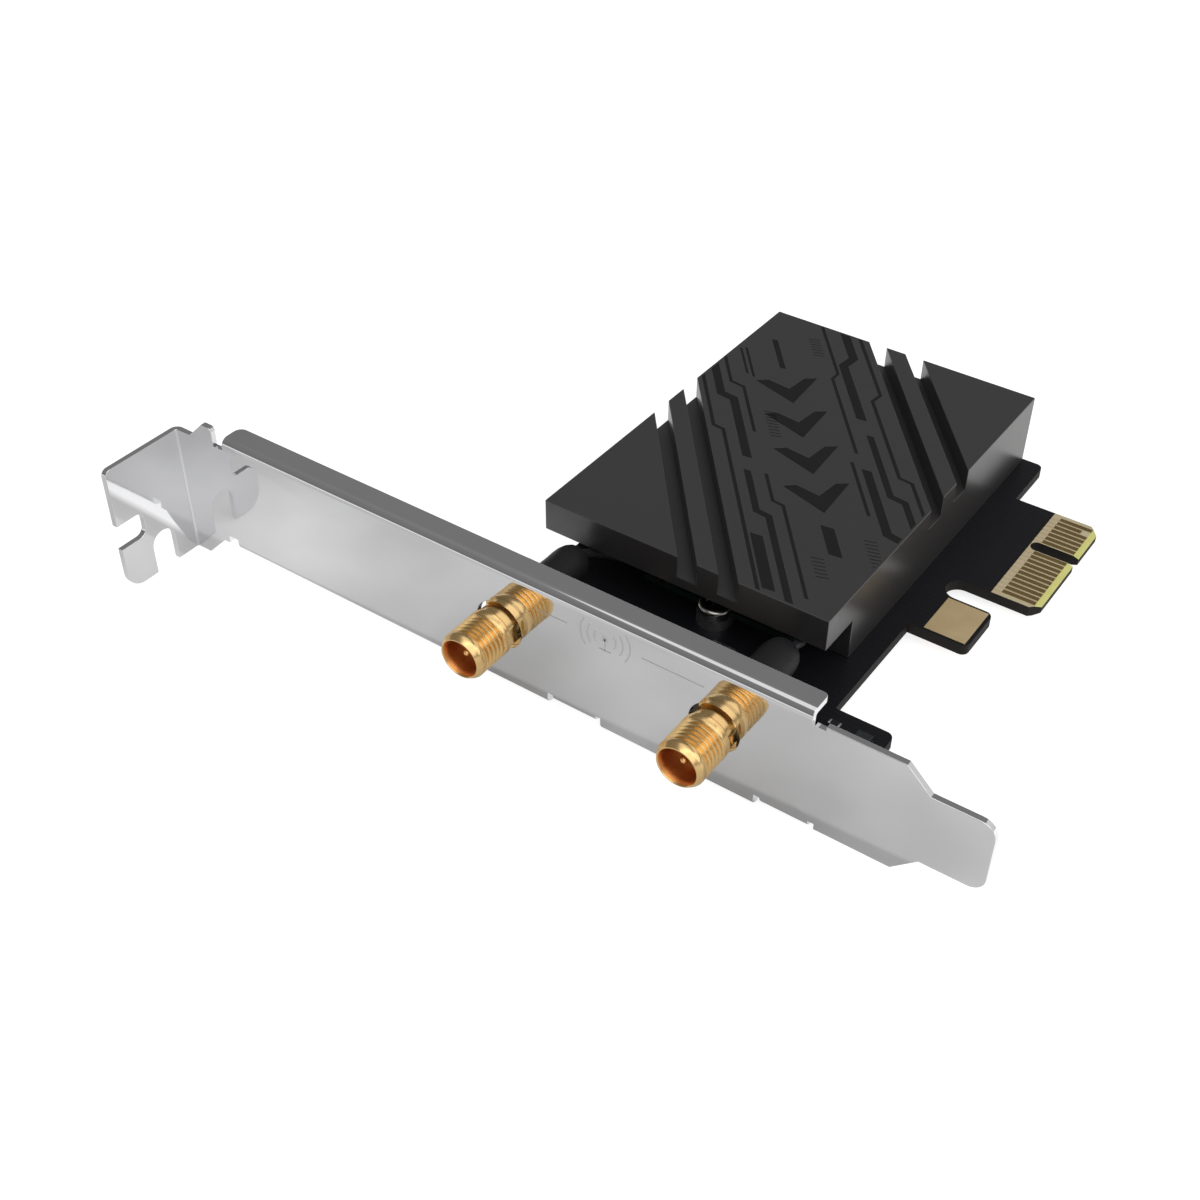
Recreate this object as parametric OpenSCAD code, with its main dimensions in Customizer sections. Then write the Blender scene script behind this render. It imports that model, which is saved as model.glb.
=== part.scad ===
// Desktop add-in card for wireless networking: a circuit board on a folded slot bracket, a plug-in
// radio module under a black heatsink, and two threaded antenna ports with their coax leads.
// Millimetres, +Z on the component side. The frame's origin is the middle of the key notch, on the
// contact edge, in the board's mid-plane. Inside the modules x runs from the tab's seating face along
// the bracket, y from the plate's outer face into the card, and z up from the plate's plain lower edge.

/* [Bracket sheet] */
// Thickness of the folded steel sheet
sheet_t = 0.86; // [0.76:0.02:0.96]
// Inner radius of every fold
fold_r = 0.34; // [0.3:0.01:0.4]
// Length from the tab's seating face to the tip of the tongue
bracket_l = 119.2; // [118.6:0.1:122]
// Width of the plain plate between its side folds
plate_w = 16.02; // [15.6:0.02:16.6]
// Depth of the side flanges, from the plate's outer face
flange_d = 3.66; // [3:0.02:4.2]
// Distance from the tab's seating face to the start of the flanges
flange_start = 8.6; // [8.4:0.1:9]
// Plain length of the plate beyond the upper flange, up to the taper
plain_l = 11.3; // [10.5:0.1:12]
// Width of the relief cuts at the flange ends
relief_w = 1.7; // [1.2:0.1:1.9]
// Depth of the relief cuts
relief_h = 0.6; // [0.4:0.05:0.8]
// Corner radius at the start of the upper flange
flange_corner_r = 1.2; // [0.8:0.1:1.6]
// Corner radius at the other flange ends
flange_end_r = 0.7; // [0.4:0.1:1]

/* [Bracket tongue] */
// Parallel length of the tongue
tongue_l = 7.6; // [6.6:0.1:8.4]
// Width of the tongue
tongue_w = 10.1; // [9.8:0.02:10.4]
// Length of the taper between plate and tongue
taper_l = 3.1; // [2.6:0.1:3.6]
// Corner radius of the tongue
tongue_r = 2; // [1:0.1:3]

/* [Bracket neck and tab] */
// Reach of the neck below the plate's plain edge
neck_low = 4.1; // [3.4:0.1:4.6]
// Step of the neck below the plate's upper edge
neck_top = 0.5; // [0.3:0.1:0.8]
// Height of the upper lobe above the plate's upper edge
bump_h = 2.2; // [1.8:0.1:2.4]
// Flat length of the upper lobe
bump_l = 1.7; // [1.2:0.1:2]
// Reach of the lower lobe below the plate's plain edge
lobe_h = 0.6; // [0.4:0.1:0.9]
// Flat length of the lower lobe
lobe_l = 1; // [0.8:0.1:1.4]
// Depth of the tab, from the plate's outer face
tab_l = 12.5; // [11.8:0.1:13]
// Corner radius at the top of the tab
tab_top_r = 1; // [0.6:0.1:1.6]
// Corner radius at the bottom of the tab
tab_low_r = 2.6; // [1.6:0.1:2.8]
// Width of the screw notch
notch_w = 3.8; // [3.6:0.1:4.5]
// Depth of the screw notch
notch_l = 4.4; // [3.8:0.1:4.8]
// Height of the notch's middle above the plate's lower edge
notch_z = 4.75; // [4.5:0.05:5.4]
// Corner radius at the notch's inner end
notch_r = 1.2; // [0.8:0.1:1.6]
// Width of the round-topped cut-out beside the plate
cutout_w = 3.9; // [3.4:0.1:4]
// Distance from the plate's outer face to the cut-out
cutout_y = 3.6; // [3.4:0.1:4]
// Height of the cut-out's top above the plate's lower edge
cutout_z = 1.9; // [1.4:0.1:2]

/* [Bracket ears] */
// Distance from the contact edge back to the middle of the first ear
ear_1_back = 39.3; // [38.8:0.1:39.8]
// Distance from the contact edge back to the middle of the second ear
ear_2_back = 9.9; // [9.6:0.1:10.2]
// Width of an ear
ear_w = 6.3; // [5.8:0.1:7]
// Depth of an ear, from the plate's outer face
ear_l = 11; // [10:0.1:12]
// Width of the slit on each side of an ear
ear_slit = 0.8; // [0.6:0.05:1]
// Drop of an ear's outer face below the plate's plain edge
ear_drop = 0.4; // [0.3:0.02:0.5]
// Distance from the plate's outer face to an ear's screw
ear_hole_y = 6.9; // [6.4:0.1:7.4]
// Corner radius of an ear
ear_r = 1; // [0.5:0.1:1.5]

/* [Circuit board] */
// Thickness of the board
board_t = 1.57; // [1.5:0.01:1.64]
// Width of the board, up to its straight edge on the contact side
board_w = 44.15; // [43.8:0.05:45]
// Distance from the plate's outer face to the board's front edge
board_front = 1.3; // [1.25:0.05:1.6]
// Length of the board
board_l = 77.87; // [77.5:0.01:80.7]
// Reach of the board past the middle of the second ear
foot_margin = 5.35; // [5:0.05:6]
// Distance from the plate's outer face to the end of that reach
foot_y = 17; // [15.5:0.1:18]
// Corner radius of the board
board_r = 1; // [0.5:0.1:1.6]

/* [Edge connector] */
// Distance from the tongue's tip back to the contact edge
edge_back = 14.4; // [14:0.1:14.8]
// Length of the contact blocks past the board's straight edge
block_l = 12.55; // [12:0.05:13]
// Distance from the plate's outer face to the middle of the key notch
key_y = 60.83; // [60.4:0.01:61.2]
// Width of the key notch
key_w = 1.9; // [1.8:0.05:2]
// Depth of the key notch
key_l = 6.5; // [6:0.1:7]
// Width of the block on the bracket side of the key notch
long_block_w = 11.65; // [11.6:0.05:11.8]
// Width of the block on the far side of the key notch
short_block_w = 7.65; // [7.6:0.05:7.8]
// Contact pitch
pitch = 1; // [0.99:0.01:1.01]
// Width of a contact
contact_w = 0.7; // [0.6:0.02:0.76]
// Length of a contact
contact_l = 5.8; // [5.2:0.1:6]
// Thickness of the plating
plating_t = 0.05; // [0.04:0.01:0.08]
// Length of the bevel on the contact edge
bevel_l = 0.8; // [0.6:0.05:1]
// Height of the bevel on each face
bevel_h = 0.3; // [0.2:0.02:0.4]
// Corner cut of the contact blocks
block_cut = 1.3; // [0.8:0.1:1.6]
// Width of the slot between the lock tab and the contacts
slot_w = 3.98; // [3.6:0.02:4.2]
// Distance from the board's straight edge to the slot's round end
slot_in = 0.6; // [0.4:0.1:1]
// Width of the lock tab
lock_w = 8; // [7.4:0.1:8.6]
// Distance from the contact edge back to the lock tab's end
lock_back = 4.4; // [4:0.1:4.8]
// Length of the lock tab's pads
lock_pad_l = 5.7; // [5:0.1:5.8]
// Bare margin around the lock tab's pads
lock_margin = 0.4; // [0.3:0.05:0.6]

/* [Antenna ports] */
// Distance from the contact edge back to the first port's axis
port_1_back = 50.4; // [49.8:0.1:51.2]
// Distance from the contact edge back to the second port's axis
port_2_back = 19.6; // [18.8:0.1:20.2]
// Height of the port axes above the plate's plain lower edge
port_z = 8.2; // [7.8:0.05:8.6]
// Radius of the holes in the plate
port_hole_r = 3.4; // [3.3:0.02:3.6]
// Outer radius of a port's thread
port_r = 3.175; // [3.1:0.005:3.2]
// Length of a port in front of the plate
port_l = 7.7; // [7.2:0.1:8.4]
// Radius of the neck behind the thread
port_neck_r = 2.9; // [2.7:0.05:3]
// Length of that neck in front of the plate
port_neck_l = 1.3; // [1:0.1:1.6]
// Width across the two flats of neck and shoulder
flats_w = 5.2; // [4.8:0.05:5.4]
// Radius of the shoulder behind the plate
shoulder_r = 4.6; // [4.3:0.05:4.8]
// Thickness of the shoulder
shoulder_t = 1.5; // [1.2:0.1:2]
// Radius of the stem behind the shoulder
stem_r = 2.1; // [2.05:0.01:2.15]
// Length of the stem
stem_l = 3.8; // [3.4:0.1:4.2]
// Radius of the mouth
mouth_r = 2.85; // [2.7:0.05:2.9]
// Length of the mouth's cone
mouth_l = 1.4; // [1:0.1:1.8]
// Radius of the bore
bore_r = 2.3; // [2.2:0.02:2.4]
// Depth of the bore down to the insulator
bore_l = 4.4; // [3.8:0.1:5]
// Radius of the insulator
insulator_r = 1.5; // [1.4:0.02:1.55]
// Radius of the centre pin
pin_r = 0.47; // [0.44:0.01:0.5]
// Depth of the pin's tip behind the mouth
pin_in = 1.1; // [0.8:0.1:1.6]

/* [Coax leads] */
// Radius of a lead
lead_r = 0.6; // [0.56:0.01:0.62]
// Radius of the crimp ferrule
ferrule_r = 1.6; // [1.5:0.05:1.8]
// Length of the crimp ferrule
ferrule_l = 5.8; // [5:0.1:6.4]
// Radius of the shrunk boot
boot_r = 2.6; // [2.5:0.05:2.8]
// Distance from the plate's outer face to the boot's end
boot_end = 16.4; // [15.8:0.1:16.6]
// Radius of a snap-on plug
plug_r = 1.3; // [1.25:0.05:1.4]
// Height of a snap-on plug
plug_h = 1.1; // [1.05:0.05:1.2]
// Radius of a plug's sleeve
sleeve_r = 0.8; // [0.75:0.01:0.85]
// Reach of the sleeve from the plug's axis
sleeve_l = 3; // [2.8:0.1:3.05]
// Turn of a sleeve to the outside of the line from plug to port, in degrees
sleeve_angle = 19; // [10:1:26]

/* [Heatsink] */
// Reach of the heatsink past the board's edge on the tab side
sink_out = 0.67; // [0.1:0.01:0.9]
// Bare margin of the board between the heatsink and the straight edge
sink_in = 3.08; // [2.6:0.02:3.4]
// Distance from the plate's outer face to the heatsink's front
sink_y = 18.83; // [18.4:0.01:19.4]
// Bare margin of the board behind the heatsink
sink_back_in = 0.53; // [0.3:0.01:1]
// Height of the heatsink above the board
sink_h = 10.78; // [10.4:0.02:11.4]
// Length of the front overhang
overhang_l = 7; // [6.6:0.1:7.4]
// Height of the overhang and of the pocket's ceiling above the board
ceiling_h = 6.16; // [6:0.02:6.5]
// Thickness of the pocket's walls
sink_wall = 4; // [3:0.1:4.6]
// Side of the screw bosses in the pocket's corners
boss_w = 6; // [5.6:0.05:6.3]
// Width of the slanting grooves
groove_w = 2.2; // [1.8:0.05:2.6]
// Depth of the grooves
groove_d = 3.2; // [2:0.1:3.4]
// Spacing of two neighbouring grooves
groove_pitch = 4.65; // [4:0.05:5.2]
// Slant of the grooves from the bracket's direction, in degrees
groove_angle = 51.3; // [45:0.1:60]
// Offset of the front pair of grooves from the heatsink's middle
front_pair = 15.6; // [14:0.1:17]
// Offset of the rear pair of grooves from the heatsink's middle
rear_pair = 17.9; // [16:0.1:19]

/* [Radio module] */
// Place of the module between the heatsink's bosses, as a share of the spare width
radio_place_share = 0.925; // [0.9:0.005:0.95]
// Distance from the plate's outer face to the module's screw end
radio_y = 22.5; // [22:0.1:23]
// Width of the module's board
radio_w = 22; // [21.8:0.05:22.2]
// Length of the module's board
radio_l = 30; // [29.6:0.1:30.4]
// Thickness of the module's board
radio_t = 0.8; // [0.7:0.02:0.88]
// Gap between the circuit board and the module
radio_lift = 1.45; // [1.3:0.05:1.6]
// Radius of the half-round screw seat
radio_seat_r = 1.75; // [1.65:0.05:1.85]
// Width of the shield can
shield_w = 17; // [16:0.1:18]
// Length of the shield can
shield_l = 18; // [17:0.1:18.5]
// Height of the shield can
shield_h = 1.4; // [1.2:0.05:1.6]
// Thickness of the shield's sheet
shield_t = 0.2; // [0.15:0.01:0.25]
// Distance from the module's screw end to the shield can
shield_y = 5.6; // [5.4:0.1:6]
// Thickness of the thermal pad
pad_t = 1.3; // [1:0.05:1.5]
// Bare margin of the shield around the thermal pad
pad_margin = 0.6; // [0.3:0.1:1]
// Distance from the module's middle line to an antenna receptacle
receptacle_x = 8.3; // [8:0.1:8.6]
// Distance from the module's screw end to the receptacles
receptacle_y = 2.5; // [2.3:0.1:2.7]
// Outer radius of a receptacle's ring
receptacle_r = 0.95; // [0.9:0.01:1]
// Side of a receptacle's base
receptacle_w = 2.4; // [2.2:0.1:2.6]
// Thickness of a receptacle's base
receptacle_t = 0.3; // [0.25:0.01:0.35]
// Height of a receptacle's ring
ring_h = 0.5; // [0.4:0.05:0.6]

/* [Module socket] */
// Width of the socket's housing
socket_w = 22.8; // [22.6:0.1:23]
// Depth of the socket's housing
socket_d = 7.9; // [7.4:0.1:8.4]
// Height of the socket's housing
socket_h = 3.2; // [2.9:0.1:3.4]
// Length of the module inside the socket
socket_grip = 4; // [3.8:0.1:4.2]
// Width of the key rib
rib_w = 0.9; // [0.8:0.05:1]
// Width of the module's key slot
rib_slot_w = 1.2; // [1.1:0.05:1.3]
// Distance from the module's middle line to the key rib
rib_x = 5.1; // [4.8:0.1:5.4]
// Pitch of the socket's contact springs
spring_pitch = 0.5; // [0.48:0.01:0.52]
// Number of contact springs in each row
springs = 33; // [31:1:35]
// Width of a contact spring
spring_w = 0.2; // [0.16:0.01:0.24]
// Thickness of a contact spring's foot
spring_t = 0.15; // [0.1:0.01:0.2]
// Length of a contact spring's foot
spring_l = 0.9; // [0.7:0.05:1.1]

/* [Screws] */
// Thread radius of the bracket screws
bracket_screw_r = 1.5; // [1.4:0.05:1.6]
// Head radius of the bracket screws
bracket_head_r = 2.8; // [2.6:0.05:3]
// Head height of the bracket screws
bracket_head_h = 1.8; // [1.6:0.1:2]
// Thread radius of the heatsink screws
sink_screw_r = 1; // [0.9:0.05:1.1]
// Head radius of the heatsink screws
sink_head_r = 2; // [1.9:0.05:2.2]
// Head height of the heatsink screws
sink_head_h = 1.2; // [1:0.05:1.3]
// Depth of the heatsink screws in the bosses
sink_screw_l = 5; // [4:0.1:6]
// Thread radius of the module's screw
radio_screw_r = 1; // [0.9:0.05:1.05]
// Head radius of the module's screw
radio_head_r = 2.25; // [2.1:0.05:2.3]
// Head height of the module's screw
radio_head_h = 0.7; // [0.6:0.05:0.8]
// Radius of the standoff under the module's screw
standoff_r = 2.4; // [2.2:0.05:2.5]
// Radius of the standoff's spigot in the board
spigot_r = 1.6; // [1.5:0.05:1.7]
// Width of the recess for the driver, as a cross
recess_w = 0.5; // [0.4:0.05:0.6]
// Depth of that recess
recess_d = 0.4; // [0.3:0.05:0.45]

/* [Lead header] */
// Number of pins of the header for the internal data lead
header_pins = 4; // [4:1:5]
// Pitch of those pins
header_pitch = 2; // [1.9:0.05:2.1]
// Side of a pin
header_pin_w = 0.5; // [0.45:0.01:0.55]
// Depth of the header's shroud
header_d = 4.8; // [4.4:0.1:5.2]
// Height of the header's shroud
header_h = 5.8; // [5.4:0.1:6]
// Wall and floor of the shroud
header_wall = 0.7; // [0.6:0.05:0.8]
// Length of a pin below the board
header_tail = 0.9; // [0.6:0.1:1]

/* [Small components] */
// Length, width and height of the regulator's body
regulator_size = [6.5, 3.5, 1.6];
// Length, width and height of the power inductor
inductor_size = [5, 5, 2.6];
// Length, width and height of a capacitor
capacitor_size = [2, 1.25, 1.2];
// Length, width and height of a resistor
resistor_size = [1.6, 0.8, 0.45];
// Length, width and height of the status light
led_size = [2, 1.25, 0.8];

/* [Hidden] */
$fn = 64;
// Overrun of every cut
over = 1;
// Clearance between a turned piece and the hole that holds it
fit = 0.05;

// Places along the bracket that follow its length
edge_x = bracket_l - edge_back;
ear_1_x = edge_x - ear_1_back;
ear_2_x = edge_x - ear_2_back;
port_1_x = edge_x - port_1_back;
port_2_x = edge_x - port_2_back;

// Bracket
fold_out = fold_r + sheet_t;
plate_l = bracket_l - tongue_l - taper_l;
flange_end = plate_l - plain_l;
relief_x = flange_start - relief_w;
tongue_z = (plate_w - tongue_w) / 2;
bump_x = relief_x - bump_l;
lobe_x = relief_x - lobe_l;
ear_places = [ear_1_x, ear_2_x];
ear_half = ear_w / 2 + ear_slit;
ear_fold_z = fold_out - ear_drop;

// Board
board_z = sheet_t - ear_drop;
board_top = board_z + board_t;
board_edge = edge_x - block_l;
board_left = board_edge - board_w;
board_back = board_front + board_l;
foot_x = ear_2_x + foot_margin;
blocks_start = key_y - key_w / 2 - long_block_w;
blocks_end = key_y + key_w / 2 + short_block_w;
lock_end = blocks_start - slot_w;
lock_start = lock_end - lock_w;
lock_x = edge_x - lock_back;
lock_pad_end = lock_x - board_r / 2;
contact_end = edge_x - bevel_l;
contact_start = contact_end - contact_l;
// Contacts on each side of the key notch, and the contact that is shorter on each face
long_count = 11;
short_count = 7;
short_top = 16;
short_bottom = 0;
short_by = contact_l / 5;

// Ports
port_places = [port_1_x, port_2_x];
thread_cut = port_r / 10;
stem_end = sheet_t + shoulder_t + stem_l;
stem_wall = stem_r - insulator_r;
insulator_front = port_l - bore_l;
lead_hole_r = lead_r + fit;
boot_start = sheet_t + shoulder_t;
boot_round = boot_r / 3;
ferrule_end = stem_end + ferrule_l;

// Heatsink
sink_top = board_top + sink_h;
sink_x = board_left - sink_out;
sink_right = board_edge - sink_in;
sink_w = sink_right - sink_x;
sink_back = board_back - sink_back_in;
sink_l = sink_back - sink_y;
block_front = sink_y + overhang_l;
ceiling_z = board_top + ceiling_h;
sink_screw_places = [for (x = [sink_x + boss_w / 2, sink_right - boss_w / 2],
    y = [block_front + boss_w / 2, sink_back - boss_w / 2]) [x, y]];
groove_offsets = [-front_pair - groove_pitch / 2, -front_pair + groove_pitch / 2,
    rear_pair - groove_pitch / 2, rear_pair + groove_pitch / 2];

// Radio module
radio_z = board_top + radio_lift;
radio_top = radio_z + radio_t;
radio_x = sink_x + boss_w + radio_place_share * (sink_w - 2 * boss_w - radio_w) + radio_w / 2;
radio_end = radio_y + radio_l;
socket_y = radio_end - socket_grip;
shield_start = radio_y + shield_y;
shield_top = radio_top + shield_h;
pad_top = shield_top + pad_t;
receptacle_places = [radio_x - receptacle_x, radio_x + receptacle_x];
receptacle_line = radio_y + receptacle_y;
receptacle_top = radio_top + receptacle_t;

// Coax leads run straight through ferrule and boot, bend towards the plug, and end straight in line
// with its sleeve. The points are shares of the first two stretches, the second along x, y and z.
straight_shares = [0, 0.3, 0.6, 0.8];
bend_shares = [
    [[0, 0, 0], [0, 0.18, 0.14], [0.02, 0.35, 0.32], [0.1, 0.52, 0.5], [0.26, 0.67, 0.67],
        [0.48, 0.8, 0.82], [0.74, 0.92, 0.93], [1, 1, 1]],
    [[0, 0, 0], [-0.05, 0.2, 0.14], [-0.05, 0.41, 0.32], [0, 0.61, 0.53], [0.19, 0.78, 0.74],
        [0.54, 0.91, 0.9], [1, 1, 1]]
];
lead_sides = 8;

// Strip of the board between bracket and heatsink, which holds the small components. Its bays lie
// between the board's ends, the heads of the bracket screws and the second boot. A table of places
// has a list for each bay, of shares of the bay's width and the strip's depth.
strip_y = board_front;
strip_d = sink_y - board_front;
bays = [
    [board_left, ear_1_x - bracket_head_r],
    [ear_1_x + bracket_head_r, port_2_x - boot_r],
    [port_2_x - boot_r, ear_2_x - bracket_head_r],
    [ear_2_x - bracket_head_r, foot_x]
];
regulator_place_shares = [[], [[0.5, 0.8]], [], []];
header_place_shares = [[], [[0.5, 0.42]], [], []];
inductor_place_shares = [[], [], [[0.64, 0.36]], []];
led_place_shares = [[], [], [], [[0.67, 0.72]]];
capacitor_place_shares = [[[0.18, 0.2], [0.18, 0.42], [0.18, 0.64], [0.95, 0.72]], [],
    [[0.15, 0.2], [0.15, 0.66]], []];
resistor_place_shares = [[[0.8, 0.2], [0.55, 0.88]], [[0.1, 0.76], [0.9, 0.76]], [[0.37, 0.72]],
    [[0.18, 0.74]]];
header_w = header_pins * header_pitch + 2 * header_wall;
// Capacitors behind the module's socket, as shares of the socket's width
socket_capacitor_shares = [-0.3, 0, 0.3];

// Moves a piece from the bracket's coordinates to the frame.
module in_frame() {
    translate([-edge_x, -key_y, -board_z - board_t / 2]) children();
}

// Box between two opposite corners.
module box(a, b) {
    translate(a) cube(b - a);
}

// Length along x of an outline drawn in y and z.
module along_x(x0, x1) {
    translate([x0, 0, 0]) rotate([90, 0, 90]) linear_extrude(x1 - x0) children();
}

// Length along y of an outline drawn in x and z.
module along_y(y0, y1) {
    translate([0, y1, 0]) rotate([90, 0, 0]) linear_extrude(y1 - y0) children();
}

// Waste outside a round corner: the corner is at the place, and the piece lies towards +x and +y of the turn.
module round_corner(place, turn, r) {
    translate(place) rotate(turn) difference() {
        translate([-over, -over]) square(r + over);
        translate([r, r]) circle(r);
    }
}

// Port coordinates: the axis is local z, which points out of the plate.
module at_port(x) {
    translate([x, 0, port_z]) rotate([90, 0, 0]) children();
}

// Fold of the sheet and the flat that follows it, in y and z from the fold's start.
module fold_outline(reach) {
    intersection() {
        translate([fold_out, 0]) difference() {
            circle(fold_out);
            circle(fold_r);
        }
        square(fold_out);
    }
    translate([fold_out, fold_r]) square([reach - fold_out, sheet_t]);
}

// Flat of the bracket in x and z, from the tab's fold to the tongue.
module plate_outline() {
    difference() {
        polygon([
            [fold_r, -neck_low],
            [lobe_x - neck_low + lobe_h, -neck_low],
            [lobe_x, -lobe_h],
            [relief_x, -lobe_h],
            [relief_x, relief_h],
            [flange_start, relief_h],
            [flange_start, 0],
            [plate_l, 0],
            [plate_l + taper_l, tongue_z],
            [bracket_l, tongue_z],
            [bracket_l, tongue_z + tongue_w],
            [plate_l + taper_l, tongue_z + tongue_w],
            [plate_l, plate_w],
            [flange_end + relief_w, plate_w],
            [flange_end + relief_w, plate_w - relief_h],
            [flange_end, plate_w - relief_h],
            [flange_end, plate_w],
            [flange_start, plate_w],
            [flange_start, plate_w - relief_h],
            [relief_x, plate_w - relief_h],
            [relief_x, plate_w + bump_h],
            [bump_x, plate_w + bump_h],
            [bump_x - bump_h - neck_top, plate_w - neck_top],
            [fold_r, plate_w - neck_top]
        ]);
        round_corner([bracket_l, tongue_z], 90, tongue_r);
        round_corner([bracket_l, tongue_z + tongue_w], 180, tongue_r);
        round_corner([relief_x, plate_w + bump_h], 180, bump_l / 3);
        for (x = ear_places) translate([x - ear_half, -over]) square([2 * ear_half, over + ear_fold_z]);
    }
}

// Tab in y and z, with the screw notch and the round-topped cut-out.
module tab_outline() {
    difference() {
        translate([-tab_l, -neck_low]) square([tab_l - fold_r, neck_low + plate_w - neck_top]);
        round_corner([-tab_l, plate_w - neck_top], -90, tab_top_r);
        round_corner([-tab_l, -neck_low], 0, tab_low_r);
        difference() {
            translate([-tab_l - over, notch_z - notch_w / 2]) square([notch_l + over, notch_w]);
            round_corner([-tab_l + notch_l, notch_z - notch_w / 2], 90, notch_r);
            round_corner([-tab_l + notch_l, notch_z + notch_w / 2], 180, notch_r);
        }
        translate([-cutout_y - cutout_w, -neck_low - over])
            square([cutout_w, neck_low + over + cutout_z - cutout_w / 2]);
        translate([-cutout_y - cutout_w / 2, cutout_z - cutout_w / 2]) circle(cutout_w / 2);
    }
}

// Fold between plate and tab.
module tab_fold() {
    translate([fold_r, -fold_r, -neck_low]) linear_extrude(neck_low + plate_w - neck_top) intersection() {
        difference() {
            circle(fold_out);
            circle(fold_r);
        }
        translate([-fold_out, 0]) square(fold_out);
    }
}

// Folded flange with rounded rear corners. It stands on the upper edge, or hangs on the lower one.
module flange(x0, x1, r0, r1, upper) {
    difference() {
        along_x(x0, x1) if (upper) translate([0, plate_w]) fold_outline(flange_d);
        else mirror([0, 1]) fold_outline(flange_d);
        translate([0, 0, -fold_out - over]) linear_extrude(plate_w + 2 * fold_out + 2 * over) {
            round_corner([x0, flange_d], -90, r0);
            round_corner([x1, flange_d], 180, r1);
        }
    }
}

// Ear that is folded back under the board and takes a screw.
module ear(x) {
    difference() {
        along_x(x - ear_w / 2, x + ear_w / 2) translate([0, ear_fold_z]) mirror([0, 1]) fold_outline(ear_l);
        translate([0, 0, -ear_drop - over]) linear_extrude(sheet_t + 2 * over) {
            round_corner([x - ear_w / 2, ear_l], -90, ear_r);
            round_corner([x + ear_w / 2, ear_l], 180, ear_r);
        }
        translate([x, ear_hole_y, -ear_drop - over])
            cylinder(h = sheet_t + 2 * over, r = bracket_screw_r + fit);
    }
}

module bracket() {
    color("silver") in_frame() difference() {
        union() {
            along_y(0, sheet_t) plate_outline();
            tab_fold();
            along_x(-sheet_t, 0) tab_outline();
            flange(flange_start, flange_end, flange_corner_r, flange_end_r, true);
            flange(flange_start, ear_1_x - ear_half, flange_end_r, flange_end_r, false);
            flange(ear_1_x + ear_half, ear_2_x - ear_half, flange_end_r, flange_end_r, false);
            for (x = ear_places) ear(x);
        }
        for (x = port_places) at_port(x) translate([0, 0, -sheet_t - over])
            cylinder(h = sheet_t + 2 * over, r = port_hole_r);
    }
}

// Screw with a round head below z = 0 and its shank above. The driver's recess is a cross.
module screw(r, head_r, head_h, shank_l) {
    difference() {
        union() {
            translate([0, 0, -head_h]) cylinder(h = head_h, r = head_r);
            cylinder(h = shank_l, r = r);
        }
        for (turn = [0, 90]) rotate(turn)
            translate([-head_r / 2, -recess_w / 2, -head_h - over]) cube([head_r, recess_w, over + recess_d]);
    }
}

module bracket_screws() {
    color("silver") in_frame() for (x = ear_places) translate([x, ear_hole_y, board_top]) mirror([0, 0, 1])
        screw(bracket_screw_r, bracket_head_r, bracket_head_h, board_t + sheet_t + ear_drop);
}

// Board seen from above, with its lock tab, slot, key notch and contact blocks.
module board_outline() {
    difference() {
        polygon([
            [board_left, board_front],
            [foot_x, board_front],
            [foot_x, foot_y],
            [board_edge, foot_y],
            [board_edge, lock_start],
            [lock_x, lock_start],
            [lock_x, blocks_start],
            [edge_x - block_cut, blocks_start],
            [edge_x, blocks_start + block_cut],
            [edge_x, blocks_end - block_cut],
            [edge_x - block_cut, blocks_end],
            [board_edge, blocks_end],
            [board_edge, board_back],
            [board_left, board_back]
        ]);
        translate([board_edge + slot_in + slot_w / 2, lock_end + slot_w / 2]) {
            circle(slot_w / 2);
            translate([0, -slot_w / 2]) square([edge_x - board_edge, slot_w]);
        }
        translate([edge_x - key_l + key_w / 2, key_y]) {
            circle(key_w / 2);
            translate([0, -key_w / 2]) square([key_l + over, key_w]);
        }
        round_corner([lock_x, lock_start], 90, board_r);
        round_corner([lock_x, lock_end], 180, board_r);
        round_corner([foot_x, foot_y], 180, board_r);
        round_corner([board_left, board_back], -90, board_r);
        round_corner([board_edge, board_back], 180, board_r);
    }
}

// Bevel of the contact edge on both faces, in x and z.
module bevel_waste() {
    for (side = [0, 1]) translate([edge_x, board_z + side * board_t]) mirror([0, side])
        polygon([[-bevel_l, 0], [0, bevel_h], [over, bevel_h], [over, -over], [-bevel_l, -over]]);
}

module board_hole(place, r) {
    translate([place[0], place[1], board_z - over]) cylinder(h = board_t + 2 * over, r = r);
}

module circuit_board() {
    color([0.09, 0.09, 0.1]) in_frame() difference() {
        translate([0, 0, board_z]) linear_extrude(board_t) board_outline();
        along_y(blocks_start - over, blocks_end + over) bevel_waste();
        for (x = ear_places) board_hole([x, ear_hole_y], bracket_screw_r + 2 * fit);
        for (place = sink_screw_places) board_hole(place, sink_screw_r + 2 * fit);
        board_hole([radio_x, radio_y], spigot_r + fit);
        for (i = [0:header_pins - 1]) board_hole(header_pin_place(i), header_pin_w);
    }
}

// Plated contacts of one face. The contact with the given number is shorter.
module contacts(z, short_one) {
    for (i = [0:long_count + short_count - 1]) {
        y = key_y + (i - long_count + 0.5) * pitch + sign(i - long_count + 0.5) * pitch;
        tip = i == short_one ? contact_end - short_by : contact_end;
        translate([contact_start, y - contact_w / 2, z]) cube([tip - contact_start, contact_w, plating_t]);
    }
}

module edge_contacts_top() {
    color("gold") in_frame() contacts(board_top, short_top);
}

module edge_contacts_bottom() {
    color("gold") in_frame() contacts(board_z - plating_t, short_bottom);
}

module lock_tab_pads() {
    color("gold") in_frame() for (z = [board_z - plating_t, board_top])
        box([lock_pad_end - lock_pad_l, lock_start + lock_margin, z],
            [lock_pad_end, lock_end - lock_margin, z + plating_t]);
}

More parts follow.
